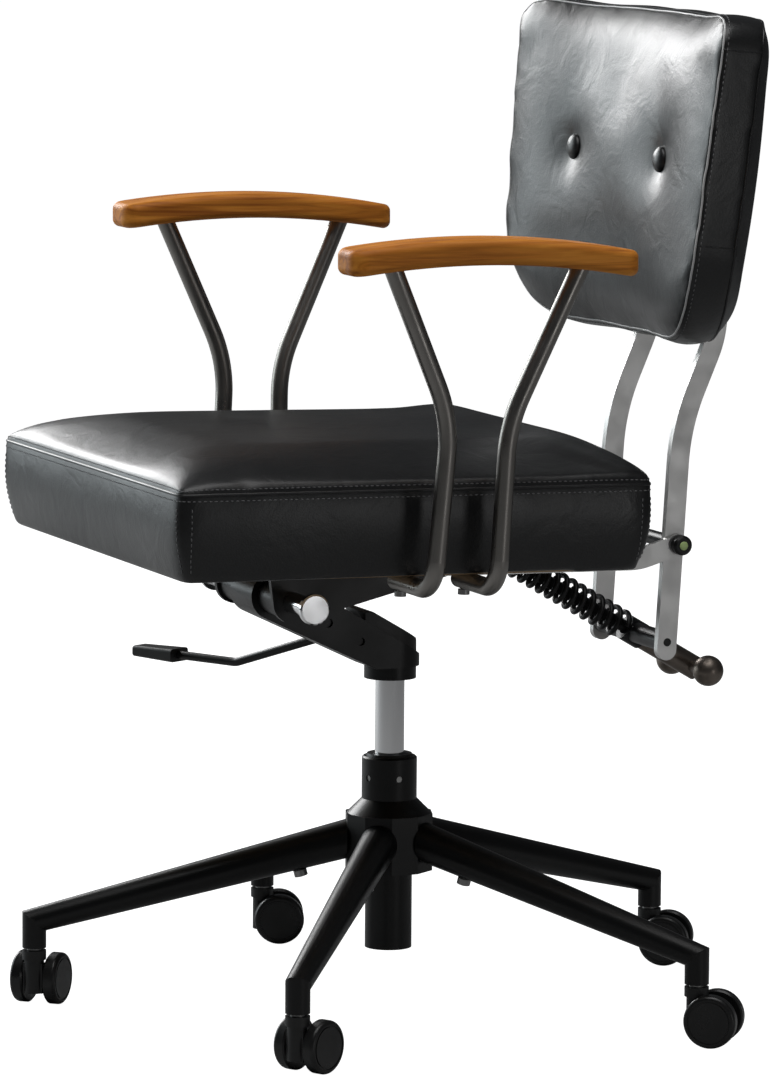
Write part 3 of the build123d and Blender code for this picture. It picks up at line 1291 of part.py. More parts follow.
with BuildPart() as back_cushion:
    shares = (-1, -0.96, -0.87, -0.66, -0.34, 0, 0.34, 0.66, 0.87, 0.96, 1)
    stations = [share * back_half_width for share in shares]
    for x in stations:
        front = seam_depth(x)
        rear = front + back_band
        top = corner_height(x, back_top_corner)
        bottom = -corner_height(x, back_bottom_corner)
        full = fullness(x)
        middle = (front + rear) / 2
        half = (top + bottom) / 2
        shoulder = (top - bottom) * back_shoulder_share
        face = front - back_edge_crown - back_front_crown * full
        hind = rear + back_edge_crown + back_rear_crown * full
        flat = back_seam_swell + back_flatness * full
        fan = Vector(1, 0, 0) - back_up * (back_taper * x / back_half_width)
        with BuildSketch(Plane(origin=back_plane.from_local_coords((x, 0, 0)), x_dir=back_rearward, z_dir=fan)):
            with BuildLine():
                ThreePointArc((front, bottom), *rounded(front, bottom, face + flat, bottom + shoulder))
                ThreePointArc((face + flat, bottom + shoulder), (face, half), (face + flat, top - shoulder))
                ThreePointArc((face + flat, top - shoulder), *rounded(face + flat, top - shoulder, front, top))
                ThreePointArc((front, top), (middle, top + back_seam_swell + back_top_swell * full), (rear, top))
                ThreePointArc((rear, top), *rounded(rear, top, hind - flat, top - shoulder))
                ThreePointArc((hind - flat, top - shoulder), (hind, half), (hind - flat, bottom + shoulder))
                ThreePointArc((hind - flat, bottom + shoulder),
                              *rounded(hind - flat, bottom + shoulder, rear, bottom))
                ThreePointArc((rear, bottom), (middle, bottom - back_seam_swell - back_bottom_swell * full),
                              (front, bottom))
            make_face()
    loft()
    for surface, inward, sink in tuft_rows:
        for way in (1, -1):
            floor = surface + inward * sink
            rim = surface - inward * button_face_thickness
            tuft_axis_spot = back_plane.from_local_coords((way * button_spread, 0, button_rise))
            tuft_plane = Plane(origin=tuft_axis_spot, x_dir=back_rearward, z_dir=(1, 0, 0))
            with BuildSketch(tuft_plane):
                with BuildLine():
                    Polyline((rim, 0), (floor, 0), (floor, button_radius + tuft_clearance))
                    ThreePointArc((floor, button_radius + tuft_clearance),
                                  (surface + inward * sink * 0.25, tuft_diameter * 0.3), (rim, tuft_diameter / 2))
                    Line((rim, tuft_diameter / 2), (rim, 0))
                make_face()
            revolve(axis=Axis(tuft_plane.origin, tuft_plane.x_dir), mode=Mode.SUBTRACT)
    slack = panel_clearance
    with BuildSketch(back_plane.offset(-panel_half_height - slack)):
        with BuildLine():
            wide = panel_half_width + slack
            ThreePointArc((-wide, edge_depth + slack), (0, middle_depth + slack), (wide, edge_depth + slack))
            Line((wide, edge_depth + slack), (wide, edge_depth - panel_thickness - slack))
            ThreePointArc((wide, edge_depth - panel_thickness - slack),
                          (0, middle_depth - panel_thickness - slack),
                          (-wide, edge_depth - panel_thickness - slack))
            Line((-wide, edge_depth - panel_thickness - slack), (-wide, edge_depth + slack))
        make_face()
    extrude(amount=2 * (panel_half_height + slack), mode=Mode.SUBTRACT)
    for way in (1, -1):
        with BuildSketch(Plane.YZ.offset(way * (bar_inner_x + bar_thickness / 2))):
            add(bar_outline(bar_width + 2 * slack))
            with Locations((bar_top_y, bar_shoulder_z + bar_top_rise)):
                Circle(bar_width / 2 + slack)
        extrude(amount=bar_thickness / 2 + slack, both=True, mode=Mode.SUBTRACT)
save(back_cushion, "back_cushion")

with BuildPart() as back_buttons:
    for surface, inward, sink in tuft_rows:
        for way in (1, -1):
            seat = surface + inward * (sink - tuft_clearance)
            button_spot = back_plane.from_local_coords((way * button_spread, seat, button_rise))
            with BuildSketch(Plane(origin=button_spot, z_dir=back_rearward * -inward)):
                Circle(button_radius)
            crest = extrude(amount=button_face_thickness).faces().sort_by(Axis.Y)[0 if inward > 0 else -1]
            fillet(crest.edges(), radius=button_edge_radius)
save(back_buttons, "back_buttons")

print("pieces written:", len([name for name in os.listdir("parts") if name.endswith(".step")]))
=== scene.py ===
# %% [markdown]
# # A swivel armchair in black leather, oak and steel
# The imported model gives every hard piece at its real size. This lesson dresses it: it adds a studio,
# gives each piece its finish, and sews the two leather cushions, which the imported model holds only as
# plain solids. Everything is in metres. The chair faces -Y and +X is the sitter's left.

# %% Load the frame
import json
from math import cos, pi, radians, sin, sqrt

import bmesh
import bpy
from mathutils import Matrix, Vector
from mathutils.bvhtree import BVHTree


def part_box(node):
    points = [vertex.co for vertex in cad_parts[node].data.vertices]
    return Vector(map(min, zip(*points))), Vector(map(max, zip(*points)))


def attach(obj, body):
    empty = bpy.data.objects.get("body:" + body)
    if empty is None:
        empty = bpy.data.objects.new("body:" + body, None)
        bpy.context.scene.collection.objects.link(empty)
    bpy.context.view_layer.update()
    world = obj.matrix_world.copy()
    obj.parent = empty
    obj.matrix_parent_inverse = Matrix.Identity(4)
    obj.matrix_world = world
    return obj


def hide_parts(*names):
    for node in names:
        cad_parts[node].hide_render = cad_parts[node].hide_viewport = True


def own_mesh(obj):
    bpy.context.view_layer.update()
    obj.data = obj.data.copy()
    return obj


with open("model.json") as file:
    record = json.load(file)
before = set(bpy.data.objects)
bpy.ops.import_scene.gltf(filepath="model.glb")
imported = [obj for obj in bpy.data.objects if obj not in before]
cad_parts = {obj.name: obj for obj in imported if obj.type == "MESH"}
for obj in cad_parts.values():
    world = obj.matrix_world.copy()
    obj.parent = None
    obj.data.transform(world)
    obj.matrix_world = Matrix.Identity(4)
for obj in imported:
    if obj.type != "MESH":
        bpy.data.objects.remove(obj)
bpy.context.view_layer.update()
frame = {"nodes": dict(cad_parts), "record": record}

nodes = frame["nodes"]
scene = bpy.context.scene

# %% [markdown]
# ## Camera
# The photograph was taken from the chair's front left, a little above the seat, with a long lens from
# about six metres. A long lens keeps the legs from looking stretched. The camera is aimed with a rotation
# matrix made from its three axes, and rolled by less than half a degree.

# %% Camera at the photograph's place
camera_place = Vector((5.51003, -2.28233, 1.20763))
camera_target = Vector((0, 0, 0.44187))
camera_roll = radians(0.411)
away = (camera_target - camera_place).normalized()
level = away.cross(Vector((0, 0, 1))).normalized()
upward = level.cross(away)
right = level * cos(camera_roll) + upward * sin(camera_roll)
above = upward * cos(camera_roll) - level * sin(camera_roll)
camera = bpy.data.objects.new("camera", bpy.data.cameras.new("camera"))
scene.collection.objects.link(camera)
turn = Matrix((right, above, -away)).transposed().to_4x4()
camera.matrix_world = Matrix.Translation(camera_place) @ turn
camera.data.sensor_width = 36
camera.data.lens = 209.95
camera.data.shift_x = -0.00316
camera.data.shift_y = 0.00761
scene.camera = camera
print("camera", round((camera_target - camera_place).length, 2), "m from the chair")

# %% [markdown]
# ## Studio
# The photograph has a white ground, a bright window on the far side and a slightly blue wall to the left. The
# window draws the white edge along the seat's front seam, and the wall gives the back its soft grey. A small
# card low on the near side lights the chrome. The floor and the world could simply be lit white, but black
# leather and black steel would then reflect white too. So both are white only where the camera sees them.

# %% Floor and backdrop light
scene.view_settings.view_transform = "Standard"
floor_mesh = bmesh.new()
bmesh.ops.create_grid(floor_mesh, x_segments=1, y_segments=1, size=40)
floor_data = bpy.data.meshes.new("floor")
floor_mesh.to_mesh(floor_data)
floor_mesh.free()
floor = bpy.data.objects.new("floor", floor_data)
scene.collection.objects.link(floor)

floor_finish = bpy.data.materials.new("pale_floor")
floor_finish.use_nodes = True
floor_shader = floor_finish.node_tree.nodes["Principled BSDF"]
floor_shader.inputs["Base Color"].default_value = (0.40, 0.40, 0.40, 1)
floor_shader.inputs["Roughness"].default_value = 0.9
floor_shader.inputs["Emission Color"].default_value = (1, 1, 1, 1)
camera_only = floor_finish.node_tree.nodes.new("ShaderNodeLightPath")
glow = floor_finish.node_tree.nodes.new("ShaderNodeMath")
glow.operation = "MULTIPLY"
glow.inputs[1].default_value = 1.0
floor_finish.node_tree.links.new(camera_only.outputs["Is Camera Ray"], glow.inputs[0])
floor_finish.node_tree.links.new(glow.outputs["Value"], floor_shader.inputs["Emission Strength"])
floor_data.materials.append(floor_finish)

world = bpy.data.worlds.new("studio")
scene.world = world
world.use_nodes = True
tree = world.node_tree
seen = tree.nodes.new("ShaderNodeBackground")
seen.inputs["Color"].default_value = (1, 1, 1, 1)
lit = tree.nodes["Background"]
lit.inputs["Color"].default_value = (0.93, 0.96, 1.0, 1)
lit.inputs["Strength"].default_value = 0.055
path = tree.nodes.new("ShaderNodeLightPath")
either = tree.nodes.new("ShaderNodeMixShader")
tree.links.new(path.outputs["Is Camera Ray"], either.inputs["Fac"])
tree.links.new(lit.outputs["Background"], either.inputs[1])
tree.links.new(seen.outputs["Background"], either.inputs[2])
tree.links.new(either.outputs["Shader"], tree.nodes["World Output"].inputs["Surface"])
print("floor and world ready")


# %% Window, wall, ceiling, fill and a small card
def soft_light(name, place, aim, size, brightness):
    """A square area light that looks from place to aim, as bright as a white surface in so much light."""
    data = bpy.data.lights.new(name, "AREA")
    data.size = size
    data.energy = brightness * pi * size * size
    lamp = bpy.data.objects.new(name, data)
    scene.collection.objects.link(lamp)
    lamp.location = place
    lamp.rotation_euler = (Vector(aim) - Vector(place)).to_track_quat("-Z", "Y").to_euler()
    lamp.visible_camera = False
    return lamp


soft_light("window", (-3.2, -0.7, 1.9), (0, -0.1, 0.5), 1.5, 9.0)
wall = soft_light("wall", (-2.9, -2.2, 1.45), (0, 0, 0.6), 2.4, 2.6)
wall.data.color = (0.88, 0.97, 1.0)
soft_light("ceiling", (0.7, -0.2, 3.0), (0, 0, 0.5), 2.2, 2.6)
soft_light("fill", (3.4, 2.6, 1.3), (0, 0, 0.5), 2.6, 0.08)
soft_light("card", (3.3, 1.2, 0.25), (0, 0, 0.5), 0.6, 3.0)

# %% [markdown]
# ## Shared effects
# Several finishes need the same two things: a fine relief, and slow change from place to place. Each is a
# node group with named inputs, so a finish only says how large and how strong. Groups put out values that
# change over the surface; the shader itself stays in each material.


# %% Node group for a fine relief
def new_group(name, inputs, outputs):
    """An empty shader group with its sockets, and its two end nodes."""
    group = bpy.data.node_groups.new(name, "ShaderNodeTree")
    for label, kind, value in inputs:
        socket = group.interface.new_socket(label, in_out="INPUT", socket_type=kind)
        if value is not None:
            socket.default_value = value
    for label, kind in outputs:
        group.interface.new_socket(label, in_out="OUTPUT", socket_type=kind)
    return group, group.nodes.new("NodeGroupInput"), group.nodes.new("NodeGroupOutput")


def join(group, source, source_socket, target, target_socket):
    """One link, named by its sockets."""
    group.links.new(source.outputs[source_socket], target.inputs[target_socket])


relief, relief_in, relief_out = new_group(
    "fine_relief",
    [("Vector", "NodeSocketVector", None), ("Scale", "NodeSocketFloat", 600.0)],
    [("Height", "NodeSocketFloat")])
cells = relief.nodes.new("ShaderNodeTexVoronoi")
cells.feature = "SMOOTH_F1"
cells.inputs["Smoothness"].default_value = 0.6
join(relief, relief_in, "Vector", cells, "Vector")
join(relief, relief_in, "Scale", cells, "Scale")
join(relief, cells, "Distance", relief_out, "Height")
print("group", relief.name)

# %% Node group for slow change over a surface
drift, drift_in, drift_out = new_group(
    "slow_change",
    [("Vector", "NodeSocketVector", None), ("Scale", "NodeSocketFloat", 12.0),
     ("Low", "NodeSocketFloat", 0.3), ("High", "NodeSocketFloat", 0.5)],
    [("Value", "NodeSocketFloat")])
clouds = drift.nodes.new("ShaderNodeTexNoise")
clouds.inputs["Detail"].default_value = 5
spread = drift.nodes.new("ShaderNodeMapRange")
spread.inputs["From Min"].default_value = 0.3
spread.inputs["From Max"].default_value = 0.7
join(drift, drift_in, "Vector", clouds, "Vector")
join(drift, drift_in, "Scale", clouds, "Scale")
join(drift, clouds, "Fac", spread, "Value")
join(drift, drift_in, "Low", spread, "To Min")
join(drift, drift_in, "High", spread, "To Max")
join(drift, spread, "Result", drift_out, "Value")
print("group", drift.name)


# %% Helpers that start a finish
def shader_of(finish):
    """The shader of a finish."""
    return finish.node_tree.nodes["Principled BSDF"]


def feed(finish, output, label):
    """Joins an output to one socket of the finish's shader."""
    finish.node_tree.links.new(output, shader_of(finish).inputs[label])


def new_finish(name, colour, metallic=0.0, roughness=0.5, coat=0.0, coat_roughness=0.1):
    """A material with its shader's plain values set."""
    finish = bpy.data.materials.new(name)
    finish.use_nodes = True
    shader = shader_of(finish)
    shader.inputs["Base Color"].default_value = (*colour, 1)
    shader.inputs["Metallic"].default_value = metallic
    shader.inputs["Roughness"].default_value = roughness
    shader.inputs["Coat Weight"].default_value = coat
    shader.inputs["Coat Roughness"].default_value = coat_roughness
    return finish


def place(finish, stretch=(1, 1, 1)):
    """Object coordinates, stretched."""
    nodes_of = finish.node_tree.nodes
    where = nodes_of.new("ShaderNodeTexCoord")
    mapping = nodes_of.new("ShaderNodeMapping")
    mapping.inputs["Scale"].default_value = stretch
    finish.node_tree.links.new(where.outputs["Object"], mapping.inputs["Vector"])
    return mapping.outputs["Vector"]


def use(finish, group, vector, **values):
    """A group placed in a finish, with its own values."""
    made = finish.node_tree.nodes.new("ShaderNodeGroup")
    made.node_tree = group
    finish.node_tree.links.new(vector, made.inputs["Vector"])
    for label, value in values.items():
        made.inputs[label].default_value = value
    return made


def vary_roughness(finish, vector, scale, low, high):
    """Roughness that drifts between two values."""
    made = use(finish, drift, vector, Scale=scale, Low=low, High=high)
    feed(finish, made.outputs["Value"], "Roughness")


def raise_relief(finish, height, strength, distance, under=None):
    """A bump from a height, on top of another bump if there is one."""
    bump = finish.node_tree.nodes.new("ShaderNodeBump")
    bump.inputs["Strength"].default_value = strength
    bump.inputs["Distance"].default_value = distance
    finish.node_tree.links.new(height, bump.inputs["Height"])
    if under is not None:
        finish.node_tree.links.new(under.outputs["Normal"], bump.inputs["Normal"])
    feed(finish, bump.outputs["Normal"], "Normal")
    return bump


def noise(finish, vector, scale, detail=4.0, distortion=0.0):
    """A noise texture on a vector."""
    made = finish.node_tree.nodes.new("ShaderNodeTexNoise")
    made.inputs["Scale"].default_value = scale
    made.inputs["Detail"].default_value = detail
    made.inputs["Distortion"].default_value = distortion
    finish.node_tree.links.new(vector, made.inputs["Vector"])
    return made


def ramp(finish, value, stops):
    """Colours picked along a value."""
    made = finish.node_tree.nodes.new("ShaderNodeValToRGB")
    for index, (position, colour) in enumerate(stops):
        stop = made.color_ramp.elements[index] if index < 2 else made.color_ramp.elements.new(position)
        stop.position = position
        stop.color = (*colour, 1)
    finish.node_tree.links.new(value, made.inputs["Fac"])
    return made


print("finish helpers ready")

# %% [markdown]
# ## Leather
# The hide is smooth and black with a soft gloss. Close up it has small cells about a millimetre wide, and
# shallow creases a few centimetres long. They could be painted pictures, but as bumps on Object coordinates
# they need no unwrapping. The gloss drifts a little, as polished hide does. The back's front seam has a cord
# whose pale grey is partly its own colour and partly a painted edge highlight. The seams are sewn in grey
# thread.

# %% Black leather
leather = new_finish("black_leather", (0.0105, 0.0108, 0.0115), roughness=0.36,
                     coat=0.12, coat_roughness=0.28)
leather_at = place(leather)
vary_roughness(leather, leather_at, 9.0, 0.31, 0.43)
creases = noise(leather, leather_at, 26.0, 5.0, 1.2)
crease_bump = raise_relief(leather, creases.outputs["Fac"], 0.22, 0.004)
grain = use(leather, relief, leather_at, Scale=620.0)
raise_relief(leather, grain.outputs["Height"], 0.14, 0.0006, crease_bump)
tone = noise(leather, leather_at, 6.0, 6.0)
deep_black = (0.0060, 0.0062, 0.0067)
worn_black = (0.0115, 0.0117, 0.0124)
hide_tone = ramp(leather, tone.outputs["Fac"], [(0.3, deep_black), (0.75, worn_black)])
feed(leather, hide_tone.outputs["Color"], "Base Color")

# The cord's pale grey is partly its own colour and partly a painted highlight along the seam's edge.
pale_cord_and_painted_highlight = new_finish("pale_cord_painted_highlight", (0.55, 0.55, 0.55), roughness=0.38)
vary_roughness(pale_cord_and_painted_highlight, place(pale_cord_and_painted_highlight), 80.0, 0.32, 0.46)

thread = new_finish("grey_thread", (0.17, 0.17, 0.175), roughness=0.6)
thread_at = place(thread)
twist = noise(thread, thread_at, 1800.0, 2.0)
raise_relief(thread, twist.outputs["Fac"], 0.4, 0.0004)
vary_roughness(thread, thread_at, 60.0, 0.55, 0.75)
print("leather, edge cord and thread ready")

# %% [markdown]
# ## Oak
# The arm pads are solid oak with the grain along their length, oiled to a warm brown. A wave texture would
# give rings that are too even, so the grain is a distorted noise stretched along Y. Fine pores run the same
# way.

# %% Oiled oak
oak = new_finish("oiled_oak", (0.33, 0.14, 0.045), roughness=0.5)
shader_of(oak).inputs["Specular IOR Level"].default_value = 0.2
board_at = place(oak, (30, 2.2, 44))
rings = noise(oak, board_at, 2.2, 7.0, 1.6)
dark_grain = (0.340, 0.096, 0.011)
mid_grain = (0.670, 0.232, 0.029)
pale_grain = (0.860, 0.345, 0.050)
board = ramp(oak, rings.outputs["Fac"], [(0.28, dark_grain), (0.72, pale_grain), (0.5, mid_grain)])
feed(oak, board.outputs["Color"], "Base Color")
pores_at = place(oak, (900, 24, 900))
pores = noise(oak, pores_at, 1.0, 3.0)
raise_relief(oak, pores.outputs["Fac"], 0.25, 0.0006)
vary_roughness(oak, board_at, 4.0, 0.42, 0.58)
print("oak ready")

# %% [markdown]
# ## Metals and plastics
# The arm tubes are steel plated a dark pewter and brushed. The back's flat bars and brackets are a paler
# satin steel, and the tee handle is browner. The base, hub and mechanism are coated satin black, with a
# slight orange-peel relief. The lift tube and the torsion shaft are chrome. One plain value of roughness
# would look like plastic, so in every finish it drifts.

# %% Pewter, satin steel and chrome
pewter = new_finish("pewter_tube", (0.29, 0.275, 0.258), metallic=1.0, roughness=0.34)
pewter_at = place(pewter)
vary_roughness(pewter, pewter_at, 35.0, 0.27, 0.42)
pewter_lines = noise(pewter, place(pewter, (1400, 1400, 60)), 1.0, 3.0)
raise_relief(pewter, pewter_lines.outputs["Fac"], 0.10, 0.0003)

satin_steel = new_finish("satin_steel", (0.64, 0.635, 0.625), metallic=1.0, roughness=0.38)
satin_at = place(satin_steel)
vary_roughness(satin_steel, satin_at, 40.0, 0.32, 0.46)
satin_lines = noise(satin_steel, place(satin_steel, (1500, 1500, 40)), 1.0, 3.0)
raise_relief(satin_steel, satin_lines.outputs["Fac"], 0.10, 0.0003)

zinc = new_finish("zinc_bolt", (0.34, 0.34, 0.335), metallic=1.0, roughness=0.35)
vary_roughness(zinc, place(zinc), 120.0, 0.28, 0.48)

bronze = new_finish("burnished_handle", (0.21, 0.18, 0.155), metallic=1.0, roughness=0.38)
vary_roughness(bronze, place(bronze), 60.0, 0.30, 0.48)

chrome = new_finish("polished_chrome", (0.92, 0.92, 0.93), metallic=1.0, roughness=0.08)
vary_roughness(chrome, place(chrome), 25.0, 0.05, 0.12)
print("bright metals ready")

# %% Black coat and black plastics
black_coat = new_finish("satin_black_coat", (0.0050, 0.0050, 0.0052), roughness=0.34)
shader_of(black_coat).inputs["Specular IOR Level"].default_value = 0.35
coat_at = place(black_coat)
peel = noise(black_coat, coat_at, 900.0, 2.0)
raise_relief(black_coat, peel.outputs["Fac"], 0.08, 0.0005)
vary_roughness(black_coat, coat_at, 16.0, 0.29, 0.40)

black_plastic = new_finish("moulded_black", (0.010, 0.010, 0.010), roughness=0.45)
moulded_at = place(black_plastic)
texture = use(black_plastic, relief, moulded_at, Scale=1500.0)
raise_relief(black_plastic, texture.outputs["Height"], 0.10, 0.0004)
vary_roughness(black_plastic, moulded_at, 30.0, 0.38, 0.52)

wheel_black = new_finish("wheel_black", (0.009, 0.009, 0.009), roughness=0.3)
wheel_at = place(wheel_black)
vary_roughness(wheel_black, wheel_at, 45.0, 0.24, 0.42)
scuffs = noise(wheel_black, wheel_at, 320.0, 3.0)
raise_relief(wheel_black, scuffs.outputs["Fac"], 0.06, 0.0004)

plywood = new_finish("birch_ply", (0.48, 0.33, 0.19), roughness=0.6)
ply_at = place(plywood, (60, 4, 60))
ply_figure = noise(plywood, ply_at, 1.4, 6.0, 0.8)
ply_tone = ramp(plywood, ply_figure.outputs["Fac"], [(0.3, (0.36, 0.23, 0.12)), (0.7, (0.56, 0.40, 0.24))])
feed(plywood, ply_tone.outputs["Color"], "Base Color")
raise_relief(plywood, ply_figure.outputs["Fac"], 0.15, 0.0005)
print("black finishes and plywood ready")

# %% [markdown]
# ## Which piece has which finish
# The record names a slot for each piece, so a finish could be chosen piece by piece or follow from the slot.
# It follows from the slot, and only the pieces that look different in the photograph are named: the back's
# bars and brackets, the tee handle, and the lever's rod, which is black.

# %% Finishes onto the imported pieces
finish_of = {
    "black_steel": black_coat, "pewter_steel": pewter, "bolt_steel": zinc, "chrome": chrome,
    "black_plastic": black_plastic, "wheel_plastic": wheel_black, "oak": oak, "plywood": plywood,
    "seat_leather": leather, "back_leather": leather}
slot_of = {entry["node"]: entry["material_slot"] for entry in frame["record"]["subparts"]}
for name, piece in nodes.items():
    finish = finish_of[slot_of[name]]
    if name.startswith(("back_bar", "back_bracket")):
        finish = satin_steel
    if name == "tension_handle":
        finish = bronze
    if name == "lever_rod":
        finish = black_coat
    piece.data.materials.clear()
    piece.data.materials.append(finish)
print("finished", len(nodes), "packed pieces")

# %% [markdown]
# ## Padded covers
# A real cushion is leather sewn round foam, so it swells between its seams. It could be modelled by hand, but
# a cloth simulation finds the soft folds by itself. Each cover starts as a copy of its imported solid, remeshed
# evenly and drawn in by two millimetres. Air pressure then swells it, while the seams, the buttons and the
# underside are held. How far a point may move is capped, and small folds are evened out at the end.


# %% Helpers for the covers' meshes
def made_mesh(piece):
    """A new mesh of an object, with its modifiers applied."""
    return bpy.data.meshes.new_from_object(piece.evaluated_get(bpy.context.evaluated_depsgraph_get()))


def relax(shape, verts, times):
    """Evens out small folds."""
    for step in range(times):
        bmesh.ops.smooth_vert(shape, verts=verts, factor=0.5,
                              use_axis_x=True, use_axis_y=True, use_axis_z=True)


def keep_outer_shell(shape):
    """Drops the faces of any hollow that is closed inside the cushion."""
    left = set(shape.verts)
    shells = []
    while left:
        reached = [left.pop()]
        shell = set(reached)
        while reached:
            for edge in reached.pop().link_edges:
                for vert in edge.verts:
                    if vert in left:
                        left.remove(vert)
                        shell.add(vert)
                        reached.append(vert)
        shells.append(shell)
    outer = max(shells, key=len)
    bmesh.ops.delete(shape, geom=[v for v in shape.verts if v not in outer], context="VERTS")


print("mesh helpers ready")


# %% Helper that swells a cover
def swell(name, node, held, form=None, voxel=0.006, draw_in=0.002, pressure=4.0, cap=0.008,
          ease=4, even_out=2):
    """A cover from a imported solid: remeshed, swelled between what is held, and smooth."""
    shape = bmesh.new()
    shape.from_mesh(nodes[node].data)
    bmesh.ops.remove_doubles(shape, verts=shape.verts, dist=1e-5)
    bmesh.ops.recalc_face_normals(shape, faces=shape.faces)
    start = bpy.data.meshes.new(name)
    shape.to_mesh(start)
    shape.free()
    cover = bpy.data.objects.new(name, start)
    scene.collection.objects.link(cover)
    remesh = cover.modifiers.new("even", "REMESH")
    remesh.mode = "VOXEL"
    remesh.voxel_size = voxel
    even = made_mesh(cover)
    cover.modifiers.clear()
    cover.data = even

    shape = bmesh.new()
    shape.from_mesh(even)
    keep_outer_shell(shape)
    free = [vert for vert in shape.verts if not held(vert.co)]
    for vert in free:
        vert.co -= vert.normal * draw_in
    if form:
        for vert in shape.verts:
            vert.co = form(vert.co)
    relax(shape, free, 3)
    shape.verts.index_update()
    loose = {vert.index for vert in free}
    shape.to_mesh(even)
    rest = [v.co.copy() for v in shape.verts]
    shape.free()

    pins = cover.vertex_groups.new(name="held")
    pins.add([index for index in range(len(rest)) if index not in loose], 1.0, "REPLACE")
    cloth = cover.modifiers.new("cloth", "CLOTH")
    cloth.settings.quality = 5
    cloth.settings.mass = 0.3
    cloth.settings.tension_stiffness = 40
    cloth.settings.compression_stiffness = 40
    cloth.settings.bending_stiffness = 8
    cloth.settings.vertex_group_mass = "held"
    cloth.settings.use_pressure = True
    cloth.settings.uniform_pressure_force = pressure
    cloth.settings.effector_weights.gravity = 0
    for step in range(1, 21):
        scene.frame_set(step)
    swollen = made_mesh(cover)
    cover.modifiers.clear()
    cover.data = swollen
    reach = 0.0
    for vert, begin in zip(swollen.vertices, rest):
        moved = vert.co - begin
        reach += moved.length / len(rest)
        if moved.length > cap:
            vert.co = begin + moved * (cap / moved.length)
    print(name, "moved", round(reach * 1000, 2), "mm on average")
    scene.frame_set(1)
    shape = bmesh.new()
    shape.from_mesh(swollen)
    shape.verts.ensure_lookup_table()
    relax(shape, [shape.verts[index] for index in loose], ease)
    relax(shape, shape.verts[:], even_out)
    shape.to_mesh(swollen)
    shape.free()
    for face in cover.data.polygons:
        face.use_smooth = True
    fine = cover.modifiers.new("fine", "SUBSURF")
    fine.levels = 1
    fine.render_levels = 1
    cover.data.materials.clear()
    cover.data.materials.append(leather)
    print(name, len(cover.data.vertices), "points")
    return cover


print("cover helper ready")

# %% [markdown]
# ## Seat cover
# The seat is boxed: a top panel, a side band and an underside, with a seam round the top edge. The underside
# slopes down to the rear by just under a degree, so heights are measured from that sloping plane. Pressure
# alone would round the top too evenly. So the band is first bowed outward and the top made full up to its
# edges.

# %% Swell the seat cover
seat_slope = radians(0.9)
seat_middle = Vector((0, -0.073, 0.4465))
seat_normal = Vector((0, sin(seat_slope), cos(seat_slope)))
seat_rearward = Vector((0, cos(seat_slope), -sin(seat_slope)))
seat_half_width = 0.244
seat_half_depth = 0.232
seat_seam = 0.082
seat_seam_out = (0.002, 0.005)
seat_side_out = (0.004, 0.009)
seat_crown = 0.027
rear_crown = 0.008
rear_from = 0.55
rear_span = 0.4
rear_fade = 0.6
edge_power = 8
rear_power = 16
hold_reach = 0.004
recess_height = 0.016
recess_inset = 0.014
seam_inset = 0.012


def seat_height(point):
    """Height over the seat's underside."""
    return (point - seat_middle).dot(seat_normal)


def seat_held(point):
    """The underside and the seam round the top edge stay put."""
    height = seat_height(point)
    along = (point - seat_middle).dot(seat_rearward)
    edge = max(abs(point.x) - seat_half_width, abs(along) - seat_half_depth)
    on_underside = height < hold_reach or (height < recess_height and edge < -recess_inset)
    on_seam = abs(height - seat_seam) < hold_reach and edge > -seam_inset
    return on_underside or on_seam


def seat_form(point):
    """The side band bulges, and the top panel is full right up to its edges and fullest along the rear."""
    height = seat_height(point)
    rise = max(0.0, min(1.0, height / seat_seam))
    bow = 4 * rise * (1 - rise)
    wider, deeper = [seam * rise + (side - seam) * bow for seam, side in zip(seat_seam_out, seat_side_out)]
    along = (point - seat_middle).dot(seat_rearward)
    point = point + Vector((point.x * wider / seat_half_width, 0, 0))
    point = point + seat_rearward * (along * deeper / seat_half_depth)
    if height <= seat_seam:
        return point
    across = min(1.0, abs(point.x) / (seat_half_width + seat_seam_out[0]))
    along = (point - seat_middle).dot(seat_rearward) / (seat_half_depth + seat_seam_out[1])
    along = max(-1.0, min(1.0, along))
    power = rear_power if along > 0 else edge_power
    full = sqrt((1 - across ** edge_power) * (1 - abs(along) ** power))
    rear = max(0.0, min(1.0, (along - rear_from) / rear_span))
    crown = seat_crown + rear_crown * rear * rear * (3 - 2 * rear) * (1 - rear_fade * across * across)
    return point + seat_normal * (seat_seam + crown * full - height)


seat_cover = swell("seat_cover", "seat_cushion", seat_held, pressure=14.0, form=seat_form)
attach(seat_cover, "seat")
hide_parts("seat_cushion")

# %% [markdown]
# ## Back cover
# The back wraps a little towards the sitter, leans back, and narrows downwards. Two buttons in front and two
# behind are pulled in by threads through the foam, so the leather dips round them. The whole cover could
# swell, but its outline would then wander. So the band between the two seams is held, and the panels swell.

# %% Where the back's seams and buttons are
back_lean = radians(5.6)
back_middle = Vector((0, 0.218, 0.8035))
back_up = Vector((0, sin(back_lean), cos(back_lean)))
back_rearward = Vector((0, cos(back_lean), -sin(back_lean)))
back_half_width = 0.226
back_half_height = 0.153
back_wrap = 0.040
back_band = 0.043
back_taper = 0.078
back_top_corner = 0.030
back_bottom_corner = 0.092
wrap_radius = (back_half_width ** 2 + back_wrap ** 2) / (2 * back_wrap)
button_spread = 0.099
button_rise = 0.013


def seam_depth(x):
    """Depth of the front seam."""
    return back_wrap - wrap_radius + sqrt(wrap_radius ** 2 - x ** 2)


def back_point(x, depth, height):
    """A point of the back, from its own measures."""
    fan = back_taper * x / back_half_width
    lift = (back_up + Vector((fan, 0, 0))) / sqrt(1 + fan * fan)
    return back_middle + Vector((x, 0, 0)) + back_rearward * depth + lift * height


def back_edge(x, radius):
    """Height of the outline at x, rounded at its corner."""
    past = max(0.0, abs(x) - (back_half_width - radius))
    return back_half_height - radius + sqrt(max(0.0, radius ** 2 - past ** 2))


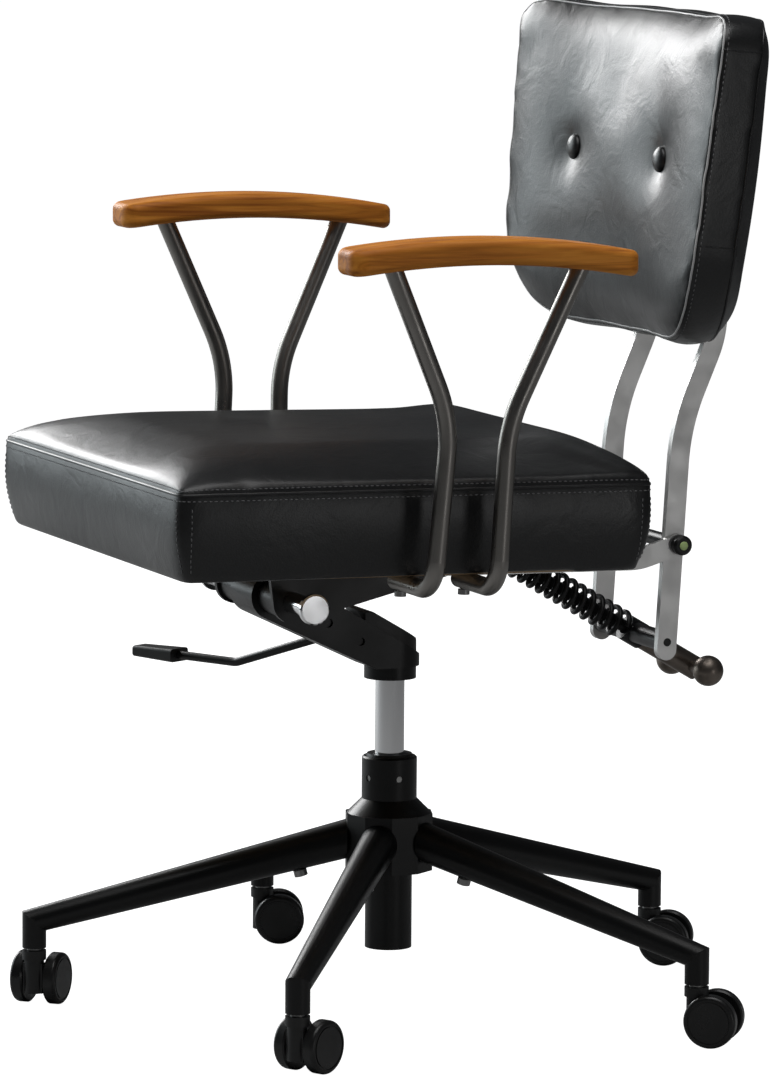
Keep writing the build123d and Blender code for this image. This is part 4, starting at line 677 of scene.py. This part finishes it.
def back_loop(depth):
    """Points round the back's outline, at a depth behind the front seam."""
    steps = 60
    across = [back_half_width * sin(pi / 2 * (2 * k / steps - 1)) for k in range(steps + 1)]
    top = [back_point(x, seam_depth(x) + depth, back_edge(x, back_top_corner)) for x in across]
    bottom = [back_point(x, seam_depth(x) + depth, -back_edge(x, back_bottom_corner))
              for x in reversed(across)]
    return top + bottom


def paced(loop, pitch):
    """Points at an even pitch round a closed loop."""
    points = []
    carried = 0.0
    for begin, end in zip(loop, loop[1:] + loop[:1]):
        span = end - begin
        while carried < span.length:
            points.append(begin + span * (carried / span.length))
            carried += pitch
        carried -= span.length
    return points


front_loop = back_loop(0)
seam_length = sum((end - begin).length for begin, end in zip(front_loop, front_loop[1:] + front_loop[:1]))
print("back's seam is", round(seam_length, 3), "m round")

# %% Swell the back cover
seam_margin = 0.001
band_reach = 0.007
button_hold = 0.013
button_places = [back_point(side * button_spread, 0, button_rise) for side in (1, -1)]


def back_held(point):
    """The band between the two seams and the leather under the buttons stay put."""
    offset = point - back_middle
    across = point.x / (1 + back_taper * offset.dot(back_up) / back_half_width)
    across = max(-back_half_width, min(back_half_width, across))
    height = offset.dot(back_up)
    corner = back_top_corner if height > 0 else back_bottom_corner
    inside = min(back_half_width - abs(across), back_edge(across, corner) - abs(height))
    behind = offset.dot(back_rearward) - seam_depth(across)
    if -seam_margin < behind < back_band + seam_margin and inside < band_reach:
        return True
    for at in button_places:
        offset = point - at
        offset -= back_rearward * offset.dot(back_rearward)
        if offset.length < button_hold:
            return True
    return False


back_cover = swell("back_cover", "back_cushion", back_held, voxel=0.005, pressure=4.0, cap=0.006,
                   ease=28, even_out=1)
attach(back_cover, "back")
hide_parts("back_cushion")

# %% [markdown]
# ## Seams and stitching
# Round the seat's top edge the leather is folded and sewn with two rows of grey thread, and the back has one
# row beside its cord. A row could be a dashed line in the material, but up close thread stands up. So each
# stitch is a small bead, laid on the finished cover at the nearest surface point, and follows every swell.


# %% Helpers that lay stitches and welts on a cover
def surface_of(cover):
    """A search tree of the finished cover."""
    made = cover.evaluated_get(bpy.context.evaluated_depsgraph_get())
    mesh = made.to_mesh()
    points = [vert.co.copy() for vert in mesh.vertices]
    faces = [tuple(face.vertices) for face in mesh.polygons]
    made.to_mesh_clear()
    return BVHTree.FromPolygons(points, faces)


stitch_pitch = 0.0052
stitch_half_length = 0.0018
stitch_half_width = 0.0006


def lay_stitch(shape, spot, normal, run, half_height, lift):
    """One stitch along run, lying on the cover."""
    run = (run - normal * run.dot(normal)).normalized()
    turned = Matrix((run, normal.cross(run), normal)).transposed().to_4x4()
    size = Matrix.Diagonal((stitch_half_length, stitch_half_width, half_height, 1))
    bmesh.ops.create_uvsphere(shape, u_segments=6, v_segments=4, radius=1.0,
                              matrix=Matrix.Translation(spot + normal * lift) @ turned @ size)


def stitch_row(shape, tree, loop, half_height=0.00048, lift=0.00018):
    """Stitches along a loop."""
    points = paced(loop, stitch_pitch)
    for index, point in enumerate(points):
        spot, normal = tree.find_nearest(point)[:2]
        run = tree.find_nearest(points[(index + 1) % len(points)])[0] - spot
        if run.length > 1e-6:
            lay_stitch(shape, spot, normal, run, half_height, lift)
    return len(points)


def settle(name, shape, finish, body):
    """A finished mesh that rides on a body."""
    data = bpy.data.meshes.new(name)
    shape.to_mesh(data)
    shape.free()
    for face in data.polygons:
        face.use_smooth = True
    data.materials.append(finish)
    piece = bpy.data.objects.new(name, data)
    scene.collection.objects.link(piece)
    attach(piece, body)
    return piece


print("stitch helpers ready")


# %% Seat seams
upright_from = 0.010
upright_inset = 0.009
upright_count = 12
upright_half_height = 0.0005
upright_lift = 0.0002


def seat_loop(height, out=0.0, corner=0.010):
    """Points round the seat's edge at a height over its underside."""
    points = []
    wide = seat_half_width + seat_seam_out[0] + out
    deep = seat_half_depth + seat_seam_out[1] + out
    for quarter, (side, end) in enumerate(((1, 1), (-1, 1), (-1, -1), (1, -1))):
        for step in range(7):
            turn_by = (quarter + step / 6) * pi / 2
            x = side * (wide - corner) + corner * cos(turn_by)
            y = end * (deep - corner) + corner * sin(turn_by)
            points.append(seat_middle + Vector((x, 0, 0)) + seat_rearward * y + seat_normal * height)
    return points


seat_tree = surface_of(seat_cover)
rows = bmesh.new()
upper = stitch_row(rows, seat_tree, seat_loop(seat_seam + 0.005, -0.001))
lower = stitch_row(rows, seat_tree, seat_loop(seat_seam - 0.006))
for side in (1, -1):
    for end in (1, -1):
        for inset_x, inset_y in ((0.0, upright_inset), (upright_inset, 0.0)):
            foot = seat_middle + Vector((side * (seat_half_width - inset_x), 0, 0))
            foot += seat_rearward * (end * (seat_half_depth - inset_y))
            for count in range(upright_count):
                begin = foot + seat_normal * (upright_from + stitch_pitch * count)
                spot, normal = seat_tree.find_nearest(begin)[:2]
                lay_stitch(rows, spot, normal, seat_normal, upright_half_height, upright_lift)
settle("seat_stitches", rows, thread, "seat")
print("seat stitches", upper, lower)


# %% [markdown]
# ## Cords and welts
# A seam has a thin cord or a folded welt in it. It could be swept as a mesh, but a round curve laid on the
# cover is shorter to write, and it is turned into a mesh at the end. The back's front seam has the pale cord,
# whose pale grey is partly a painted edge highlight. The other seams have leather welts, and four short ones
# cross the back's band where its strips are joined.

# %% Back seams
cord_radius = 0.0010
rear_welt_radius = 0.0015
joint_radius = 0.0008
seat_welt_radius = 0.0014
welt_pitch = 0.008
stitch_gap = 0.006


def welt(name, tree, loop, radius, finish, body, closed=True):
    """A thin sewn cord along a seam."""
    curve = bpy.data.curves.new(name, "CURVE")
    curve.dimensions = "3D"
    curve.bevel_depth = radius
    curve.bevel_resolution = 2
    points = [tree.find_nearest(p)[0] for p in (paced(loop, welt_pitch) if closed else loop)]
    spline = curve.splines.new("NURBS")
    spline.points.add(len(points) - 1)
    for at, point in zip(spline.points, points):
        at.co = (*point, 1)
    spline.use_cyclic_u = closed
    spline.use_endpoint_u = not closed
    spline.order_u = 3
    line = bpy.data.objects.new(name, curve)
    scene.collection.objects.link(line)
    data = made_mesh(line)
    bpy.data.objects.remove(line)
    data.materials.clear()
    data.materials.append(finish)
    for face in data.polygons:
        face.use_smooth = True
    piece = bpy.data.objects.new(name, data)
    scene.collection.objects.link(piece)
    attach(piece, body)
    return piece


back_tree = surface_of(back_cover)
# The front cord's pale grey is partly a painted highlight along the seam's edge.
welt("back_front_welt", back_tree, front_loop, cord_radius, pale_cord_and_painted_highlight, "back")
welt("back_rear_welt", back_tree, back_loop(back_band), rear_welt_radius, leather, "back")
joints = (("upper", back_half_height - back_top_corner), ("lower", back_bottom_corner - back_half_height))
side_depths = [seam_depth(back_half_width) + back_band * step / 6 for step in range(7)]
for side, letter in ((1, "left"), (-1, "right")):
    for level, height in joints:
        crossing = [back_point(side * back_half_width, depth, height) for depth in side_depths]
        welt("back_" + level + "_joint_" + letter, back_tree, crossing, joint_radius, leather,
             "back", closed=False)
welt("seat_top_welt", seat_tree, seat_loop(seat_seam), seat_welt_radius, leather, "seat")
rows = bmesh.new()
made = stitch_row(rows, back_tree, back_loop(stitch_gap))
settle("back_stitches", rows, thread, "back")
print("back stitches", made)

# %% [markdown]
# ## Buttons
# The four tuft buttons are leather over a domed former. A squashed sphere would do for the dome, but its rim
# would be too sharp. So a quarter of an ellipse with a short foot under it is spun round the button's axis.

# %% Domed buttons
low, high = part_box("back_buttons")
shape = bmesh.new()
button_radius = 0.0125
button_dome = 0.0062
button_lift = 0.001
foot_radius = button_radius * 0.86
foot_depth = 0.002
arc = [pi / 2 * step / 8 for step in range(9)]
profile = [(button_radius * cos(angle), button_dome * sin(angle)) for angle in arc]
for side in (1, -1):
    for front in (True, False):
        direction = -back_rearward if front else back_rearward
        centre = back_point(side * button_spread, 0, button_rise)
        spot = back_tree.ray_cast(centre + direction * 0.3, -direction)[0]
        across = Vector((1, 0, 0))
        verts = [shape.verts.new(spot + across * r + direction * (h + button_lift)) for r, h in profile]
        base = shape.verts.new(spot + across * foot_radius - direction * foot_depth)
        edges = [shape.edges.new(pair) for pair in zip([base] + verts, verts)]
        bmesh.ops.spin(shape, geom=[base] + verts + edges, cent=spot, axis=direction, angle=2 * pi,
                       steps=28, use_merge=True)
bmesh.ops.remove_doubles(shape, verts=shape.verts, dist=1e-5)
bmesh.ops.recalc_face_normals(shape, faces=shape.faces)
buttons = settle("tuft_buttons", shape, leather, "back")
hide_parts("back_buttons")
print("buttons between", [round(v, 3) for v in low], [round(v, 3) for v in high])

# %% [markdown]
# ## Spring
# The coil spring round the tension rod shortens as the back reclines. It could be a bevelled curve, but a
# wire section spun round the rod while it moves along it makes the whole coil in one operator. It starts
# from its seat on the rod and rides with the rod.

# %% Coil spring
anchor = Vector((0, 0.110, 0.4345))
crossbar = Vector((0, 0.2553, 0.3495))
rod_way = (crossbar - anchor).normalized()
wire = 0.0027
rod_seat = 0.0203
boss_half = 0.0105
end_gap = 0.003
coil_begin = rod_seat + wire
coil_end = (crossbar - anchor).length - boss_half - end_gap
coil_turns = 12
coil_radius = 0.0128
aside = Vector((1, 0, 0))
start = anchor + rod_way * coil_begin
shape = bmesh.new()
wire_turn = Matrix((aside, rod_way, aside.cross(rod_way))).transposed().to_4x4()
bmesh.ops.create_circle(shape, cap_ends=True, segments=12, radius=wire,
                        matrix=Matrix.Translation(start + aside * coil_radius) @ wire_turn)
coil_length = coil_end - coil_begin
steps = 28 * coil_turns
bmesh.ops.spin(shape, geom=shape.verts[:] + shape.edges[:] + shape.faces[:], cent=start, axis=rod_way,
               angle=2 * pi * coil_turns, steps=steps, dvec=rod_way * (coil_length / steps))
bmesh.ops.recalc_face_normals(shape, faces=shape.faces)
spring_coil = settle("spring_coil", shape, black_coat, "rod")
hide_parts("spring")
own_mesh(spring_coil)
print("spring", round(coil_length, 4), "m long")

# %% [markdown]
# ## Pivot ends
# Each end of the back's pivot has a black cap with a small pale green plug in its middle. A flat disc would
# do from far off, but the plug catches the light. So it is a low dome, spun round the pivot's axis.

# %% Pivot plugs
low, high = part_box("pivot_shaft")
pivot = Vector((0, (low[1] + high[1]) / 2, (low[2] + high[2]) / 2))
plug_finish = new_finish("pale_plug", (0.55, 0.72, 0.30), roughness=0.35)
vary_roughness(plug_finish, place(plug_finish), 300.0, 0.28, 0.45)
shape = bmesh.new()
for side, end in ((1, high[0]), (-1, low[0])):
    tip = Vector((end, pivot.y, pivot.z))
    profile = [(0.0042, -0.0004), (0.0042, 0.0005), (0.0034, 0.0010), (0.0018, 0.0013), (0.0, 0.0014)]
    verts = [shape.verts.new(tip + Vector((side * h, 0, r))) for r, h in profile]
    edges = [shape.edges.new(pair) for pair in zip(verts, verts[1:])]
    bmesh.ops.spin(shape, geom=verts + edges, cent=tip, axis=(1, 0, 0), angle=2 * pi,
                   steps=24, use_merge=True)
bmesh.ops.remove_doubles(shape, verts=shape.verts, dist=1e-5)
bmesh.ops.recalc_face_normals(shape, faces=shape.faces)
settle("pivot_plugs", shape, plug_finish, "seat")
print("pivot at", [round(v, 4) for v in pivot])
